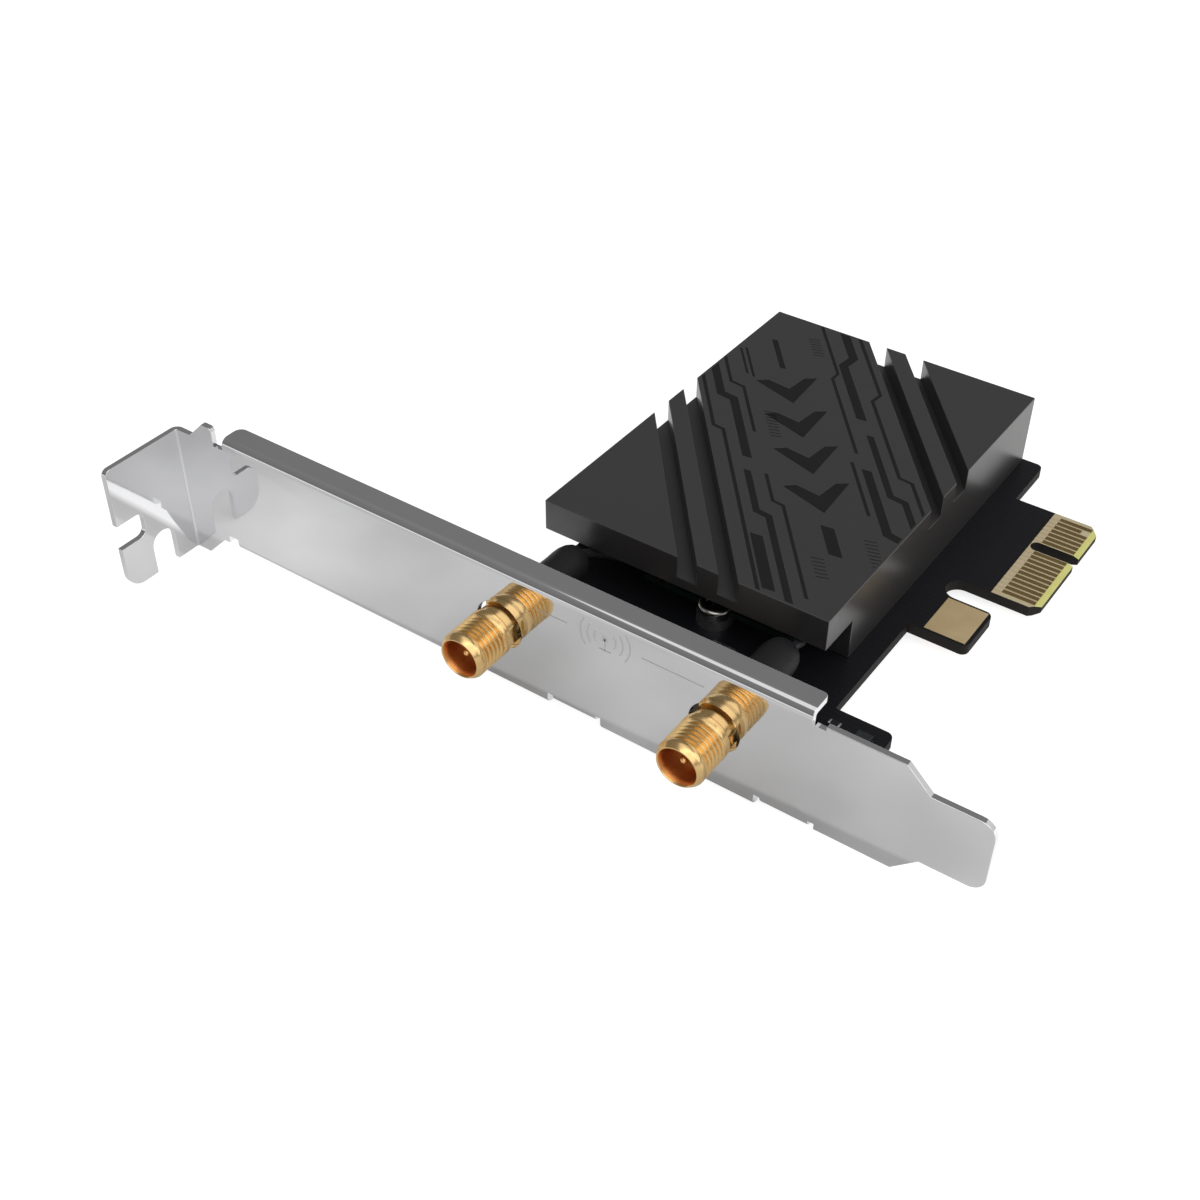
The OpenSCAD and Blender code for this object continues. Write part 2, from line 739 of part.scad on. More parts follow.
// Heatsink block with its pocket, corner bosses, pedestal over the module and four slanting grooves.
module heatsink() {
    color([0.22, 0.22, 0.22]) in_frame() difference() {
        union() {
            difference() {
                union() {
                    box([sink_x, block_front, board_top], [sink_right, sink_back, sink_top]);
                    box([sink_x, sink_y, ceiling_z], [sink_right, block_front, sink_top]);
                }
                box([sink_x + sink_wall, block_front - over, board_top - over],
                    [sink_right - sink_wall, sink_back - sink_wall, ceiling_z]);
            }
            for (place = sink_screw_places)
                box([place[0] - boss_w / 2, place[1] - boss_w / 2, board_top],
                    [place[0] + boss_w / 2, place[1] + boss_w / 2, ceiling_z]);
            box([radio_x - shield_w / 2 + pad_margin, shield_start + pad_margin, pad_top],
                [radio_x + shield_w / 2 - pad_margin, shield_start + shield_l - pad_margin, ceiling_z]);
        }
        for (place = sink_screw_places) translate([place[0], place[1], board_top - over])
            cylinder(h = sink_screw_l + over + fit, r = sink_screw_r + fit);
        for (offset = groove_offsets)
            translate([sink_x + sink_w / 2, sink_y + sink_l / 2, sink_top - groove_d]) rotate(-groove_angle)
                translate([-sink_l, offset - groove_w / 2, 0]) cube([2 * sink_l, groove_w, groove_d + over]);
    }
}

module heatsink_screws() {
    color([0.25, 0.25, 0.26]) in_frame()
        for (place = sink_screw_places) translate([place[0], place[1], board_z])
            screw(sink_screw_r, sink_head_r, sink_head_h, board_t + sink_screw_l);
}

module thermal_pad() {
    color([0.6, 0.62, 0.66]) in_frame()
        box([radio_x - shield_w / 2 + pad_margin, shield_start + pad_margin, shield_top],
            [radio_x + shield_w / 2 - pad_margin, shield_start + shield_l - pad_margin, pad_top]);
}

// Socket housing with the slot for the module's edge and the key rib in it.
module module_socket() {
    color([0.12, 0.12, 0.13]) in_frame() difference() {
        box([radio_x - socket_w / 2, socket_y, board_top],
            [radio_x + socket_w / 2, socket_y + socket_d, board_top + socket_h]);
        difference() {
            box([radio_x - radio_w / 2 - fit, socket_y - over, radio_z - fit],
                [radio_x + radio_w / 2 + fit, radio_end + fit, radio_top + fit]);
            box([radio_x + rib_x - rib_w / 2, socket_y + socket_grip / 4, radio_z - over],
                [radio_x + rib_x + rib_w / 2, radio_end + over, radio_top + over]);
        }
    }
}

// Feet of the contact springs, one row at each side of the socket.
module socket_contacts() {
    color("gold") in_frame() for (y = [socket_y - spring_l, socket_y + socket_d], i = [0:springs - 1])
        translate([radio_x + (i - (springs - 1) / 2) * spring_pitch - spring_w / 2, y, board_top])
            cube([spring_w, spring_l, spring_t]);
}

module radio_board() {
    color([0.05, 0.2, 0.12]) in_frame() difference() {
        box([radio_x - radio_w / 2, radio_y, radio_z], [radio_x + radio_w / 2, radio_end, radio_top]);
        translate([radio_x, radio_y, radio_z - over]) cylinder(h = radio_t + 2 * over, r = radio_seat_r);
        box([radio_x + rib_x - rib_slot_w / 2, socket_y + socket_grip / 8, radio_z - over],
            [radio_x + rib_x + rib_slot_w / 2, radio_end + over, radio_top + over]);
    }
}

module radio_shield() {
    color("silver") in_frame() difference() {
        box([radio_x - shield_w / 2, shield_start, radio_top],
            [radio_x + shield_w / 2, shield_start + shield_l, shield_top]);
        box([radio_x - shield_w / 2 + shield_t, shield_start + shield_t, radio_top - over],
            [radio_x + shield_w / 2 - shield_t, shield_start + shield_l - shield_t, shield_top - shield_t]);
    }
}

module radio_standoff() {
    color("silver") in_frame() translate([radio_x, radio_y, 0]) difference() {
        union() {
            translate([0, 0, board_top]) cylinder(h = radio_lift, r = standoff_r);
            translate([0, 0, board_z + board_t / 3]) cylinder(h = board_t * 2 / 3, r = spigot_r);
        }
        translate([0, 0, board_z]) cylinder(h = board_t + radio_lift + over, r = radio_screw_r + fit);
    }
}

module radio_screw() {
    color("silver") in_frame() translate([radio_x, radio_y, radio_top]) mirror([0, 0, 1])
        screw(radio_screw_r, radio_head_r, radio_head_h, radio_t + radio_lift);
}

module antenna_receptacles() {
    color("gold") in_frame() for (x = receptacle_places) translate([x, receptacle_line, radio_top]) {
        translate([-receptacle_w / 2, -receptacle_w / 2, 0]) cube([receptacle_w, receptacle_w, receptacle_t]);
        difference() {
            cylinder(h = receptacle_t + ring_h, r = receptacle_r);
            translate([0, 0, receptacle_t]) cylinder(h = ring_h + over, r = receptacle_r * 2 / 3);
        }
        cylinder(h = receptacle_t + ring_h, r = receptacle_r / 5);
    }
}

// Snap-on plug over a receptacle, with the sleeve that holds the lead.
module coax_plug(n) {
    color([0.75, 0.7, 0.5]) in_frame() translate([receptacle_places[n], receptacle_line, receptacle_top])
        difference() {
            union() {
                cylinder(h = plug_h, r = plug_r);
                translate([0, 0, sleeve_r]) rotate([0, 90, plug_angle(n)])
                    cylinder(h = sleeve_l, r = sleeve_r);
            }
            translate([0, 0, -over]) cylinder(h = over + ring_h + fit, r = receptacle_r + fit);
        }
}

// Turn of a plug's sleeve about its upright axis: towards the port, and a little to the outside.
function plug_angle(n) = atan2(boot_end - receptacle_line, port_places[n] - receptacle_places[n])
    + sign(n - 0.5) * sleeve_angle;

// Point in line with a plug's sleeve, at a distance from the plug's axis.
function sleeve_point(n, reach) = [receptacle_places[n] + reach * cos(plug_angle(n)),
    receptacle_line + reach * sin(plug_angle(n)), receptacle_top + sleeve_r];

// Points of a lead, from the end of the port's stem to the end of the plug's sleeve.
function lead_route(n) = let (
    start = [port_places[n], stem_end + fit, port_z],
    turn = [port_places[n], boot_end, port_z],
    landing = sleeve_point(n, sleeve_l + fit + 2 * lead_r))
    concat([for (share = straight_shares) start + share * (turn - start)],
        [for (share = bend_shares[n]) [for (k = [0:2]) turn[k] + share[k] * (landing[k] - turn[k])]],
        [sleeve_point(n, sleeve_l + fit)]);

// Swept tube of a lead: a ring at each point of the route, square to the way the route runs there.
function unit(v) = v / norm(v);
function heading(route, i) = unit(route[min(i + 1, len(route) - 1)] - route[max(i - 1, 0)]);
function side_of(way) = unit(cross(way, [0, 0, 1]));
function ring(route, i) = let (way = heading(route, i), side = side_of(way), rise = cross(side, way))
    [for (k = [0:lead_sides - 1]) let (turn = 360 * k / lead_sides)
        route[i] + lead_r * (cos(turn) * side + sin(turn) * rise)];

module coax_lead(n) {
    route = lead_route(n);
    last = len(route) - 1;
    points = [for (i = [0:last]) each ring(route, i)];
    walls = [for (i = [0:last - 1], k = [0:lead_sides - 1]) let (a = i * lead_sides, b = (k + 1) % lead_sides)
        [a + k, a + b, a + lead_sides + b, a + lead_sides + k]];
    start_cap = [for (k = [0:lead_sides - 1]) lead_sides - 1 - k];
    end_cap = [for (k = [0:lead_sides - 1]) last * lead_sides + k];
    color([0.1, 0.1, 0.1]) in_frame() polyhedron(points, concat(walls, [start_cap, end_cap]), convexity = 6);
}

// Turned body of a port: thread, flatted neck through the plate, shoulder behind it, and stem.
module antenna_port(x) {
    color([0.9, 0.7, 0.35]) in_frame() at_port(x) difference() {
        union() {
            rotate_extrude() polygon([
                [0, port_neck_l],
                [port_r - thread_cut, port_neck_l],
                [port_r, port_neck_l + thread_cut],
                [port_r, port_l - thread_cut],
                [port_r - thread_cut / 2, port_l],
                [0, port_l]
            ]);
            intersection() {
                rotate_extrude() polygon([
                    [0, port_neck_l],
                    [port_neck_r, port_neck_l],
                    [port_neck_r, -sheet_t],
                    [shoulder_r, -sheet_t],
                    [shoulder_r, -sheet_t - shoulder_t],
                    [stem_r, -sheet_t - shoulder_t],
                    [stem_r, -stem_end],
                    [0, -stem_end]
                ]);
                translate([-flats_w / 2, -shoulder_r - over, -stem_end - over])
                    cube([flats_w, 2 * shoulder_r + 2 * over, stem_end + port_neck_l + over]);
            }
        }
        rotate_extrude() polygon([
            [0, port_l + over],
            [mouth_r, port_l + over],
            [mouth_r, port_l],
            [bore_r, port_l - mouth_l],
            [bore_r, insulator_front],
            [insulator_r, insulator_front],
            [insulator_r, -stem_end + stem_wall],
            [lead_hole_r, -stem_end + stem_wall],
            [lead_hole_r, -stem_end - over],
            [0, -stem_end - over]
        ]);
    }
}

module port_insulator(x) {
    color("white") in_frame() at_port(x) rotate_extrude() polygon([
        [pin_r + fit, insulator_front],
        [insulator_r - fit, insulator_front],
        [insulator_r - fit, -stem_end + stem_wall],
        [pin_r + fit, -stem_end + stem_wall]
    ]);
}

module port_pin(x) {
    color("gold") in_frame() at_port(x) rotate_extrude() polygon([
        [0, -stem_end],
        [pin_r, -stem_end],
        [pin_r, port_l - pin_in - pin_r],
        [pin_r / 2, port_l - pin_in],
        [0, port_l - pin_in]
    ]);
}

module crimp_ferrule(x) {
    color([0.8, 0.65, 0.35]) in_frame() at_port(x) rotate_extrude() polygon([
        [lead_hole_r, -stem_end],
        [ferrule_r, -stem_end],
        [ferrule_r, -ferrule_end],
        [lead_hole_r, -ferrule_end]
    ]);
}

// Shrunk boot over stem and ferrule, which closes around the lead.
module lead_boot(x) {
    color([0.12, 0.12, 0.12]) in_frame() at_port(x) rotate_extrude() polygon([
        [stem_r + fit, -boot_start],
        [boot_r, -boot_start],
        [boot_r, -boot_end + boot_round],
        [boot_r - boot_round / 3, -boot_end + boot_round / 3],
        [boot_r - boot_round, -boot_end],
        [lead_hole_r, -boot_end],
        [lead_hole_r, -ferrule_end - fit],
        [ferrule_r + fit, -ferrule_end - fit],
        [ferrule_r + fit, -stem_end - fit],
        [stem_r + fit, -stem_end - fit]
    ]);
}

// Places on the board of the components in a table of shares.
function strip_places(shares) = [for (n = [0:len(bays) - 1], share = shares[n])
    [bays[n][0] + share[0] * (bays[n][1] - bays[n][0]), strip_y + share[1] * strip_d]];

// Component that stands on the board with its middle at the place.
module component(place, size) {
    translate([place[0] - size[0] / 2, place[1] - size[1] / 2, board_top]) cube(size);
}

function header_pin_place(i) = strip_places(header_place_shares)[0]
    + [(i - (header_pins - 1) / 2) * header_pitch, 0];

module lead_header() {
    place = strip_places(header_place_shares)[0];
    color("white") in_frame() difference() {
        component(place, [header_w, header_d, header_h]);
        translate([place[0], place[1], board_top + header_wall])
            translate([-header_w / 2 + header_wall, -header_d / 2 + header_wall, 0])
                cube([header_w - 2 * header_wall, header_d - 2 * header_wall, header_h]);
        for (i = [0:header_pins - 1]) translate(header_pin_place(i)) translate([0, 0, board_top - over])
            cylinder(h = header_wall + 2 * over, r = header_pin_w * 3 / 4);
    }
}

module lead_header_pins() {
    color("silver") in_frame() for (i = [0:header_pins - 1]) translate(header_pin_place(i))
        translate([-header_pin_w / 2, -header_pin_w / 2, board_z - header_tail])
            cube([header_pin_w, header_pin_w, header_tail + board_t + header_h * 3 / 4]);
}

// Regulator: moulded body with a wide heat tab on one side and three legs on the other.
module voltage_regulator() {
    place = strip_places(regulator_place_shares)[0];
    leg = regulator_size[0] / 8;
    color([0.1, 0.1, 0.1]) in_frame() {
        component(place, regulator_size);
        component([place[0], place[1] + regulator_size[1] / 2 + leg],
            [regulator_size[0] / 2, 2 * leg, regulator_size[2] / 4]);
        for (i = [-1:1])
            component([place[0] + i * regulator_size[0] / 3, place[1] - regulator_size[1] / 2 - leg],
                [leg, 2 * leg, regulator_size[2] / 4]);
    }
}

// Inductor: square block with a raised round core.
module power_inductor() {
    place = strip_places(inductor_place_shares)[0];
    color([0.3, 0.3, 0.32]) in_frame() {
        component(place, [inductor_size[0], inductor_size[1], inductor_size[2] * 3 / 4]);
        translate([place[0], place[1], board_top])
            cylinder(h = inductor_size[2], r = inductor_size[0] * 2 / 5);
    }
}

module capacitors() {
    color([0.6, 0.45, 0.3]) in_frame() {
        for (place = strip_places(capacitor_place_shares)) component(place, capacitor_size);
        for (share = socket_capacitor_shares) component([radio_x + share * socket_w,
            (socket_y + socket_d + sink_back - sink_wall) / 2], capacitor_size);
    }
}

module resistors() {
    color([0.15, 0.15, 0.15]) in_frame()
        for (place = strip_places(resistor_place_shares)) component(place, resistor_size);
}

module status_light() {
    color([0.7, 0.9, 0.7]) in_frame() component(strip_places(led_place_shares)[0], led_size);
}

bracket();
circuit_board();
edge_contacts_top();
edge_contacts_bottom();
lock_tab_pads();
heatsink();
thermal_pad();
heatsink_screws();
module_socket();
socket_contacts();
radio_board();
radio_shield();
radio_standoff();
radio_screw();
antenna_receptacles();
coax_plug(0);  // coax_plug_1
coax_plug(1);  // coax_plug_2
coax_lead(0);  // coax_lead_1
coax_lead(1);  // coax_lead_2
antenna_port(port_1_x);  // antenna_port_1
antenna_port(port_2_x);  // antenna_port_2
port_insulator(port_1_x);  // port_insulator_1
port_insulator(port_2_x);  // port_insulator_2
port_pin(port_1_x);  // port_pin_1
port_pin(port_2_x);  // port_pin_2
crimp_ferrule(port_1_x);  // crimp_ferrule_1
crimp_ferrule(port_2_x);  // crimp_ferrule_2
lead_boot(port_1_x);  // lead_boot_1
lead_boot(port_2_x);  // lead_boot_2
bracket_screws();
lead_header();
lead_header_pins();
voltage_regulator();
power_inductor();
capacitors();
resistors();
status_light();
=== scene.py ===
from math import atan2, cos, pi, radians, sin

import bmesh
import bpy
from mathutils import Matrix, Vector


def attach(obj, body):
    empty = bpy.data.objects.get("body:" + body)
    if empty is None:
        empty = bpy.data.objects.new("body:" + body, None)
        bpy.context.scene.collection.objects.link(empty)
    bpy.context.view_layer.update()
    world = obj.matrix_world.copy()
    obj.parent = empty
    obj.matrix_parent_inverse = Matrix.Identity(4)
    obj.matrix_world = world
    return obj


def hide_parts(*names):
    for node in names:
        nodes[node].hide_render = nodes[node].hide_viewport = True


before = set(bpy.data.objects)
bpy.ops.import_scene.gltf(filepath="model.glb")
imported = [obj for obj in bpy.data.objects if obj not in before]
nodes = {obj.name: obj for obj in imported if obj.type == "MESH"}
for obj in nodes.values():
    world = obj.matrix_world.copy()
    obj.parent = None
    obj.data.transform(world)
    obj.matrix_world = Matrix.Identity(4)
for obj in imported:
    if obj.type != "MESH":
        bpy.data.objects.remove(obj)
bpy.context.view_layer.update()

mm = 0.001
scene = bpy.context.scene

# Sizes below are in the bracket's own millimetres: x from the tab's seat along the bracket, y from the
# plate's outer face into the card, z up from the plate's plain lower edge.
cornerToOrigin = Vector((104.8, 60.83, 1.245))


def at(x, y, z):
    return (Vector((x, y, z)) - cornerToOrigin) * mm


def placed(x, y, z, turn=Matrix.Identity(4)):
    return Matrix.Translation(at(x, y, z)) @ turn @ Matrix.Scale(mm, 4)


outOfPlate = Matrix.Rotation(radians(90), 4, "X")  # local z comes out of the plate's front
headDown = Matrix.Rotation(radians(180), 4, "X")


# Mesh helpers

def facesSince(bm, before):
    return [f for f in bm.faces if f not in before]


def cornersOf(faces):
    return list({v for f in faces for v in f.verts})


def turned(bm, profile, place, steps=48, ring=False, material=0):
    # Lathe: a profile of (radius, height) goes once round. A ring is a profile that closes on itself.
    before = set(bm.faces)
    points = [bm.verts.new((r, 0, h)) for r, h in profile]
    pairs = zip(points, points[1:] + points[:1] if ring else points[1:])
    lines = [bm.edges.new(pair) for pair in pairs]
    bmesh.ops.spin(bm, geom=points + lines, cent=(0, 0, 0), axis=(0, 0, 1), angle=2 * pi, steps=steps,
                   use_merge=True)
    bmesh.ops.remove_doubles(bm, verts=cornersOf(facesSince(bm, before)), dist=1e-5)
    faces = facesSince(bm, before)
    bmesh.ops.recalc_face_normals(bm, faces=faces)
    for face in faces:
        face.material_index = material
    bmesh.ops.transform(bm, matrix=place, verts=cornersOf(faces))
    return faces


def swept(bm, section, angle, steps, rise=0.0, start=0.0):
    # A closed section in the XZ plane goes round the Z axis, rising on the way, and both its ends are closed.
    before = set(bm.faces)
    corners = [bm.verts.new((r, 0, h)) for r, h in section]
    lines = [bm.edges.new(pair) for pair in zip(corners, corners[1:] + corners[:1])]
    bm.faces.new(corners)
    around = bmesh.ops.spin(bm, geom=corners + lines, cent=(0, 0, 0), axis=(0, 0, 1), angle=angle, steps=steps,
                            dvec=(0, 0, rise / steps))
    bm.faces.new([v for v in around["geom_last"] if isinstance(v, bmesh.types.BMVert)])
    faces = facesSince(bm, before)
    bmesh.ops.recalc_face_normals(bm, faces=faces)
    bmesh.ops.rotate(bm, cent=(0, 0, 0), matrix=Matrix.Rotation(start, 3, "Z"), verts=cornersOf(faces))
    return cornersOf(faces)


def block(bm, low, high, material=0, soften=0.0):
    size = Vector(high) - Vector(low)
    middle = (Vector(high) + Vector(low)) / 2
    before = set(bm.faces)
    made = bmesh.ops.create_cube(bm, size=1)
    bmesh.ops.transform(bm, matrix=Matrix.Translation(at(*middle)) @ Matrix.Diagonal((*(size * mm), 1)),
                        verts=made["verts"])
    if soften:
        edges = list({e for v in made["verts"] for e in v.link_edges})
        bmesh.ops.bevel(bm, geom=edges, offset=soften * mm, segments=2, profile=0.5, affect="EDGES", material=-1)
    for face in facesSince(bm, before):
        face.material_index = material


def mergedCopy(node):
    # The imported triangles, joined up and with their flat faces made whole again.
    bm = bmesh.new()
    bm.from_mesh(nodes[node].data)
    bmesh.ops.remove_doubles(bm, verts=bm.verts, dist=2e-6)
    bmesh.ops.dissolve_limit(bm, angle_limit=radians(0.4), verts=bm.verts, edges=bm.edges)
    return bm


def addPiece(bm, name, materials, stands=(), soften=0.0, sharpFrom=35):
    for face in bm.faces:
        face.smooth = True
    for edge in bm.edges:
        edge.smooth = len(edge.link_faces) == 2 and edge.calc_face_angle(0) < radians(sharpFrom)
    outer = bm.edges.layers.float.new("bevel_weight_edge")  # only outer corners are broken, inner ones stay
    for edge in bm.edges:
        edge[outer] = float(not edge.smooth and edge.is_convex)
    mesh = bpy.data.meshes.new(name)
    bm.to_mesh(mesh)
    bm.free()
    piece = bpy.data.objects.new(name, mesh)
    scene.collection.objects.link(piece)
    for material in materials:
        mesh.materials.append(material)
    if soften:
        bevel = piece.modifiers.new("softEdge", "BEVEL")
        bevel.width = soften * mm
        bevel.segments = 2
        bevel.limit_method = "WEIGHT"
        bevel.use_clamp_overlap = False
        bevel.harden_normals = True
    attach(piece, "root")
    if stands:
        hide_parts(*stands)
    return piece


# Materials

def linear(shade):
    parts = [int(shade[i:i + 2], 16) / 255 for i in (1, 3, 5)]
    return [p / 12.92 if p <= 0.04045 else ((p + 0.055) / 1.055) ** 2.4 for p in parts] + [1]


def addNode(tree, kind, settings=None, links=None):
    node = tree.nodes.new("ShaderNode" + kind)
    for key, value in (settings or {}).items():
        if isinstance(key, str) and hasattr(node, key):
            setattr(node, key, value)
        else:
            node.inputs[key].default_value = value
    for key, source in (links or {}).items():
        tree.links.new(source.outputs[0] if isinstance(source, bpy.types.Node) else source, node.inputs[key])
    return node


def makeFinish(name, look):
    # Colour drifts between two shades in patches, gloss drifts too, and a fine grain gives relief.
    material = bpy.data.materials.new(name)
    material.use_nodes = True
    tree = material.node_tree
    shader = tree.nodes["Principled BSDF"]
    place = addNode(tree, "TexCoord").outputs["Object"]
    patch = addNode(tree, "TexNoise", {"Scale": 1 / (look["patch"] * mm), "Detail": 3}, {"Vector": place})
    tone = addNode(tree, "Mix", {"data_type": "RGBA", 6: linear(look["shades"][0]), 7: linear(look["shades"][1])},
                   {0: patch})
    turn = addNode(tree, "Mapping", {"Rotation": (0, 0, radians(look.get("angle", 0)))}, {"Vector": place})
    stretch = addNode(tree, "Mapping", {"Scale": look.get("stretch", (1, 1, 1))}, {"Vector": turn})
    grain = addNode(tree, "TexNoise", {"Scale": 1 / (look["grain"] * mm), "Detail": 4, "Roughness": 0.6},
                    {"Vector": stretch})
    gloss = addNode(tree, "MapRange", {"From Min": 0.3, "From Max": 0.7, "To Min": look["rough"][0],
                                       "To Max": look["rough"][1]}, {"Value": grain})
    bump = addNode(tree, "Bump", {"Strength": 0.7, "Distance": look["relief"] * mm}, {"Height": grain})
    tree.links.new(tone.outputs[2], shader.inputs["Base Color"])
    tree.links.new(gloss.outputs[0], shader.inputs["Roughness"])
    tree.links.new(bump.outputs[0], shader.inputs["Normal"])
    shader.inputs["Metallic"].default_value = look.get("metallic", 0)
    if "ior" in look:
        shader.inputs["IOR"].default_value = look["ior"]
    for socket, value in look.get("sockets", {}).items():
        shader.inputs[socket].default_value = value
    return material


dullSkin = {"Specular IOR Level": 0.22}  # dark matt skins give back little of a white room
finishLooks = {
    # Bright zinc and nickel plate on rolled steel, polished: a near mirror with faint rolling lines along the strip
    "polishedPlate": dict(shades=("#ededee", "#e4e4e6"), metallic=1, rough=(0.03, 0.07), patch=9, grain=0.5,
                          stretch=(0.08, 1, 1), relief=0.0002),
    # The same plate where a mark is engraved: satin
    "satinPlate": dict(shades=("#e0e0e1", "#d2d2d4"), metallic=1, rough=(0.3, 0.4), patch=3, grain=0.2, relief=0.001),
    # Gold plate on turned brass: pale and glossy
    "goldOnBrass": dict(shades=("#fad898", "#eec384"), metallic=1, rough=(0.23, 0.27), patch=3, grain=0.8,
                        relief=0.00004),
    # The same plating in the bore, painted darker and redder: painted shade of the recess
    "boreShadedGold": dict(shades=("#eaa868", "#d48c4c"), metallic=1, rough=(0.32, 0.45), patch=1.2, grain=0.4,
                       relief=0.001),
    # Hard gold on the edge contacts: glossy, with wipe marks along the way the card slides in
    "hardGold": dict(shades=("#c6a974", "#b09460"), metallic=1, rough=(0.22, 0.28), patch=2.5, grain=0.25,
                     stretch=(0.1, 1, 1), relief=0.0002),
    # Roots of the contacts, where the plating stops: dull and pale
    "dullGold": dict(shades=("#b7a88a", "#a89875"), rough=(0.45, 0.6), patch=1.5, grain=0.25, relief=0.004,
                     ior=1.5),
    # Immersion gold on the lock pad: soft and matt
    "padGold": dict(shades=("#dcc59a", "#c6ad80"), metallic=0.6, rough=(0.4, 0.55), patch=3, grain=0.2,
                    relief=0.002),
    # Glass-epoxy laminate laid bare at the contact bevel: straw green with the weave showing
    "bareLaminate": dict(shades=("#c8c67c", "#b2b05c"), rough=(0.5, 0.7), patch=1.2, grain=0.25, relief=0.01,
                         ior=1.55),
    # Laminate between the contacts, bare and pale
    "paleLaminate": dict(shades=("#b3a888", "#a39877"), rough=(0.45, 0.65), patch=1.2, grain=0.2, relief=0.01,
                         ior=1.55),
    # Routed board edge: dark epoxy with glass ends
    "routedEdge": dict(shades=("#17110e", "#0f0b09"), rough=(0.6, 0.8), patch=1, grain=0.12, relief=0.02, ior=1.55,
                       sockets=dullSkin),
    # Shrunk polyolefin sleeve, satin black with a soft orange-peel skin
    "shrunkSleeve": dict(shades=("#1b1b1d", "#151517"), rough=(0.42, 0.6), patch=3, grain=0.5, relief=0.03, ior=1.5,
                         sockets=dullSkin),
    # Coax jacket, smooth grey-black polymer
    "coaxJacket": dict(shades=("#2b2b2e", "#212123"), rough=(0.35, 0.5), patch=4, grain=0.3, relief=0.01, ior=1.4),
    # Blackened steel screws
    "blackScrew": dict(shades=("#4a4a4e", "#38383b"), metallic=1, rough=(0.25, 0.42), patch=1.5, grain=0.2,
                       relief=0.002),
    # Nickel-plated screws
    "nickelScrew": dict(shades=("#c9c7c2", "#b3b1ad"), metallic=1, rough=(0.15, 0.28), patch=1.5, grain=0.2,
                        relief=0.002),
    # Tinned sheet of the shield can, drawn and slightly dull
    "tinnedSheet": dict(shades=("#c4c5c6", "#b2b3b5"), metallic=1, rough=(0.28, 0.42), patch=4, grain=0.4,
                        stretch=(1, 0.15, 1), relief=0.001),
    # Solder and tinned ends
    "tinned": dict(shades=("#d0d1d2", "#b8babc"), metallic=1, rough=(0.25, 0.42), patch=0.8, grain=0.25,
                   relief=0.003),
    # Crimped brass ferrule
    "ferruleBrass": dict(shades=("#e0c488", "#ccaa68"), metallic=1, rough=(0.2, 0.34), patch=1.5, grain=0.25,
                         relief=0.002),
    # Sockets and chip bodies: glass-filled black resin, moulded with a fine spark-eroded matt skin
    "blackResin": dict(shades=("#1d1d1f", "#161617"), rough=(0.5, 0.7), patch=3, grain=0.12, relief=0.008, ior=1.55,
                       sockets=dullSkin),
    # Natural nylon header
    "naturalNylon": dict(shades=("#dcd6c6", "#cfc8b6"), rough=(0.4, 0.55), patch=4, grain=0.2, relief=0.008,
                         ior=1.53),
    # Port insulator: white fluoropolymer, waxy
    "whitePolymer": dict(shades=("#f0ede6", "#e2ded4"), rough=(0.35, 0.5), patch=1.5, grain=0.2, relief=0.004,
                         ior=1.38),
    # Sintered ferrite of the inductor
    "ferriteCore": dict(shades=("#333234", "#29282a"), rough=(0.5, 0.75), patch=1.2, grain=0.1, relief=0.02, ior=2.0,
                        sockets=dullSkin),
    # Multilayer ceramic, tan
    "tanCeramic": dict(shades=("#a8845e", "#92704c"), rough=(0.4, 0.6), patch=0.8, grain=0.1, relief=0.008, ior=1.7),
    # Gap filler pad: soft blue-grey silicone
    "gapFiller": dict(shades=("#8f97a6", "#7f8796"), rough=(0.6, 0.8), patch=2, grain=0.2, relief=0.03, ior=1.41),
    # Status light: unlit resin, near black
    "lightResin": dict(shades=("#23282a", "#1c2021"), rough=(0.15, 0.25), patch=1, grain=0.3, relief=0.002,
                       ior=1.54),
    # Module board: deep green-black mask over copper, painted near black as the shade under the heatsink
    "moduleResistPaintedShade": dict(shades=("#10201a", "#0b1712"), rough=(0.3, 0.45), patch=2, grain=0.4, relief=0.004, ior=1.5,
                         sockets=dullSkin),
    # Black ink screened on the heatsink, flatter than the metal
    "sinkInk": dict(shades=("#1f1e1e", "#191818"), rough=(0.5, 0.62), patch=6, grain=0.2, relief=0.001, ior=1.5,
                    sockets={"Specular IOR Level": 0.12}),
}
finish = {name: makeFinish(name, look) for name, look in finishLooks.items()}

sinkFinish = {
    "shades": ("#2a2828", "#252424"), "rough": (0.28, 0.34), "patch": 18,
    "ior": 1.8,  # a touch above aluminium oxide's 1.77, matched to the front face
    "grooveAngle": 51.3,  # brush lines run along the grooves
    "lineWidth": 0.14, "lineLength": 14, "relief": 0.0005,
}


def makeBrushedBlack(look):
    # Aluminium, milled, brushed along the grooves, then anodised and dyed: a dark clear oxide that turns glossy
    # towards a low view, with faint satin streaks.
    return makeFinish("brushedBlackAluminium", dict(
        shades=look["shades"], rough=look["rough"], ior=look["ior"], patch=look["patch"], grain=look["lineWidth"],
        angle=look["grooveAngle"], stretch=(look["lineWidth"] / look["lineLength"], 1, 0.05),
        relief=look["relief"]))


finish["brushedBlackAluminium"] = makeBrushedBlack(sinkFinish)

maskLook = {"shades": ("#141417", "#0f0f12"), "trackShade": "#17171b", "trackPitch": 0.9, "trackRun": 6.5,
            "trackWidth": 0.09, "relief": 0.004}


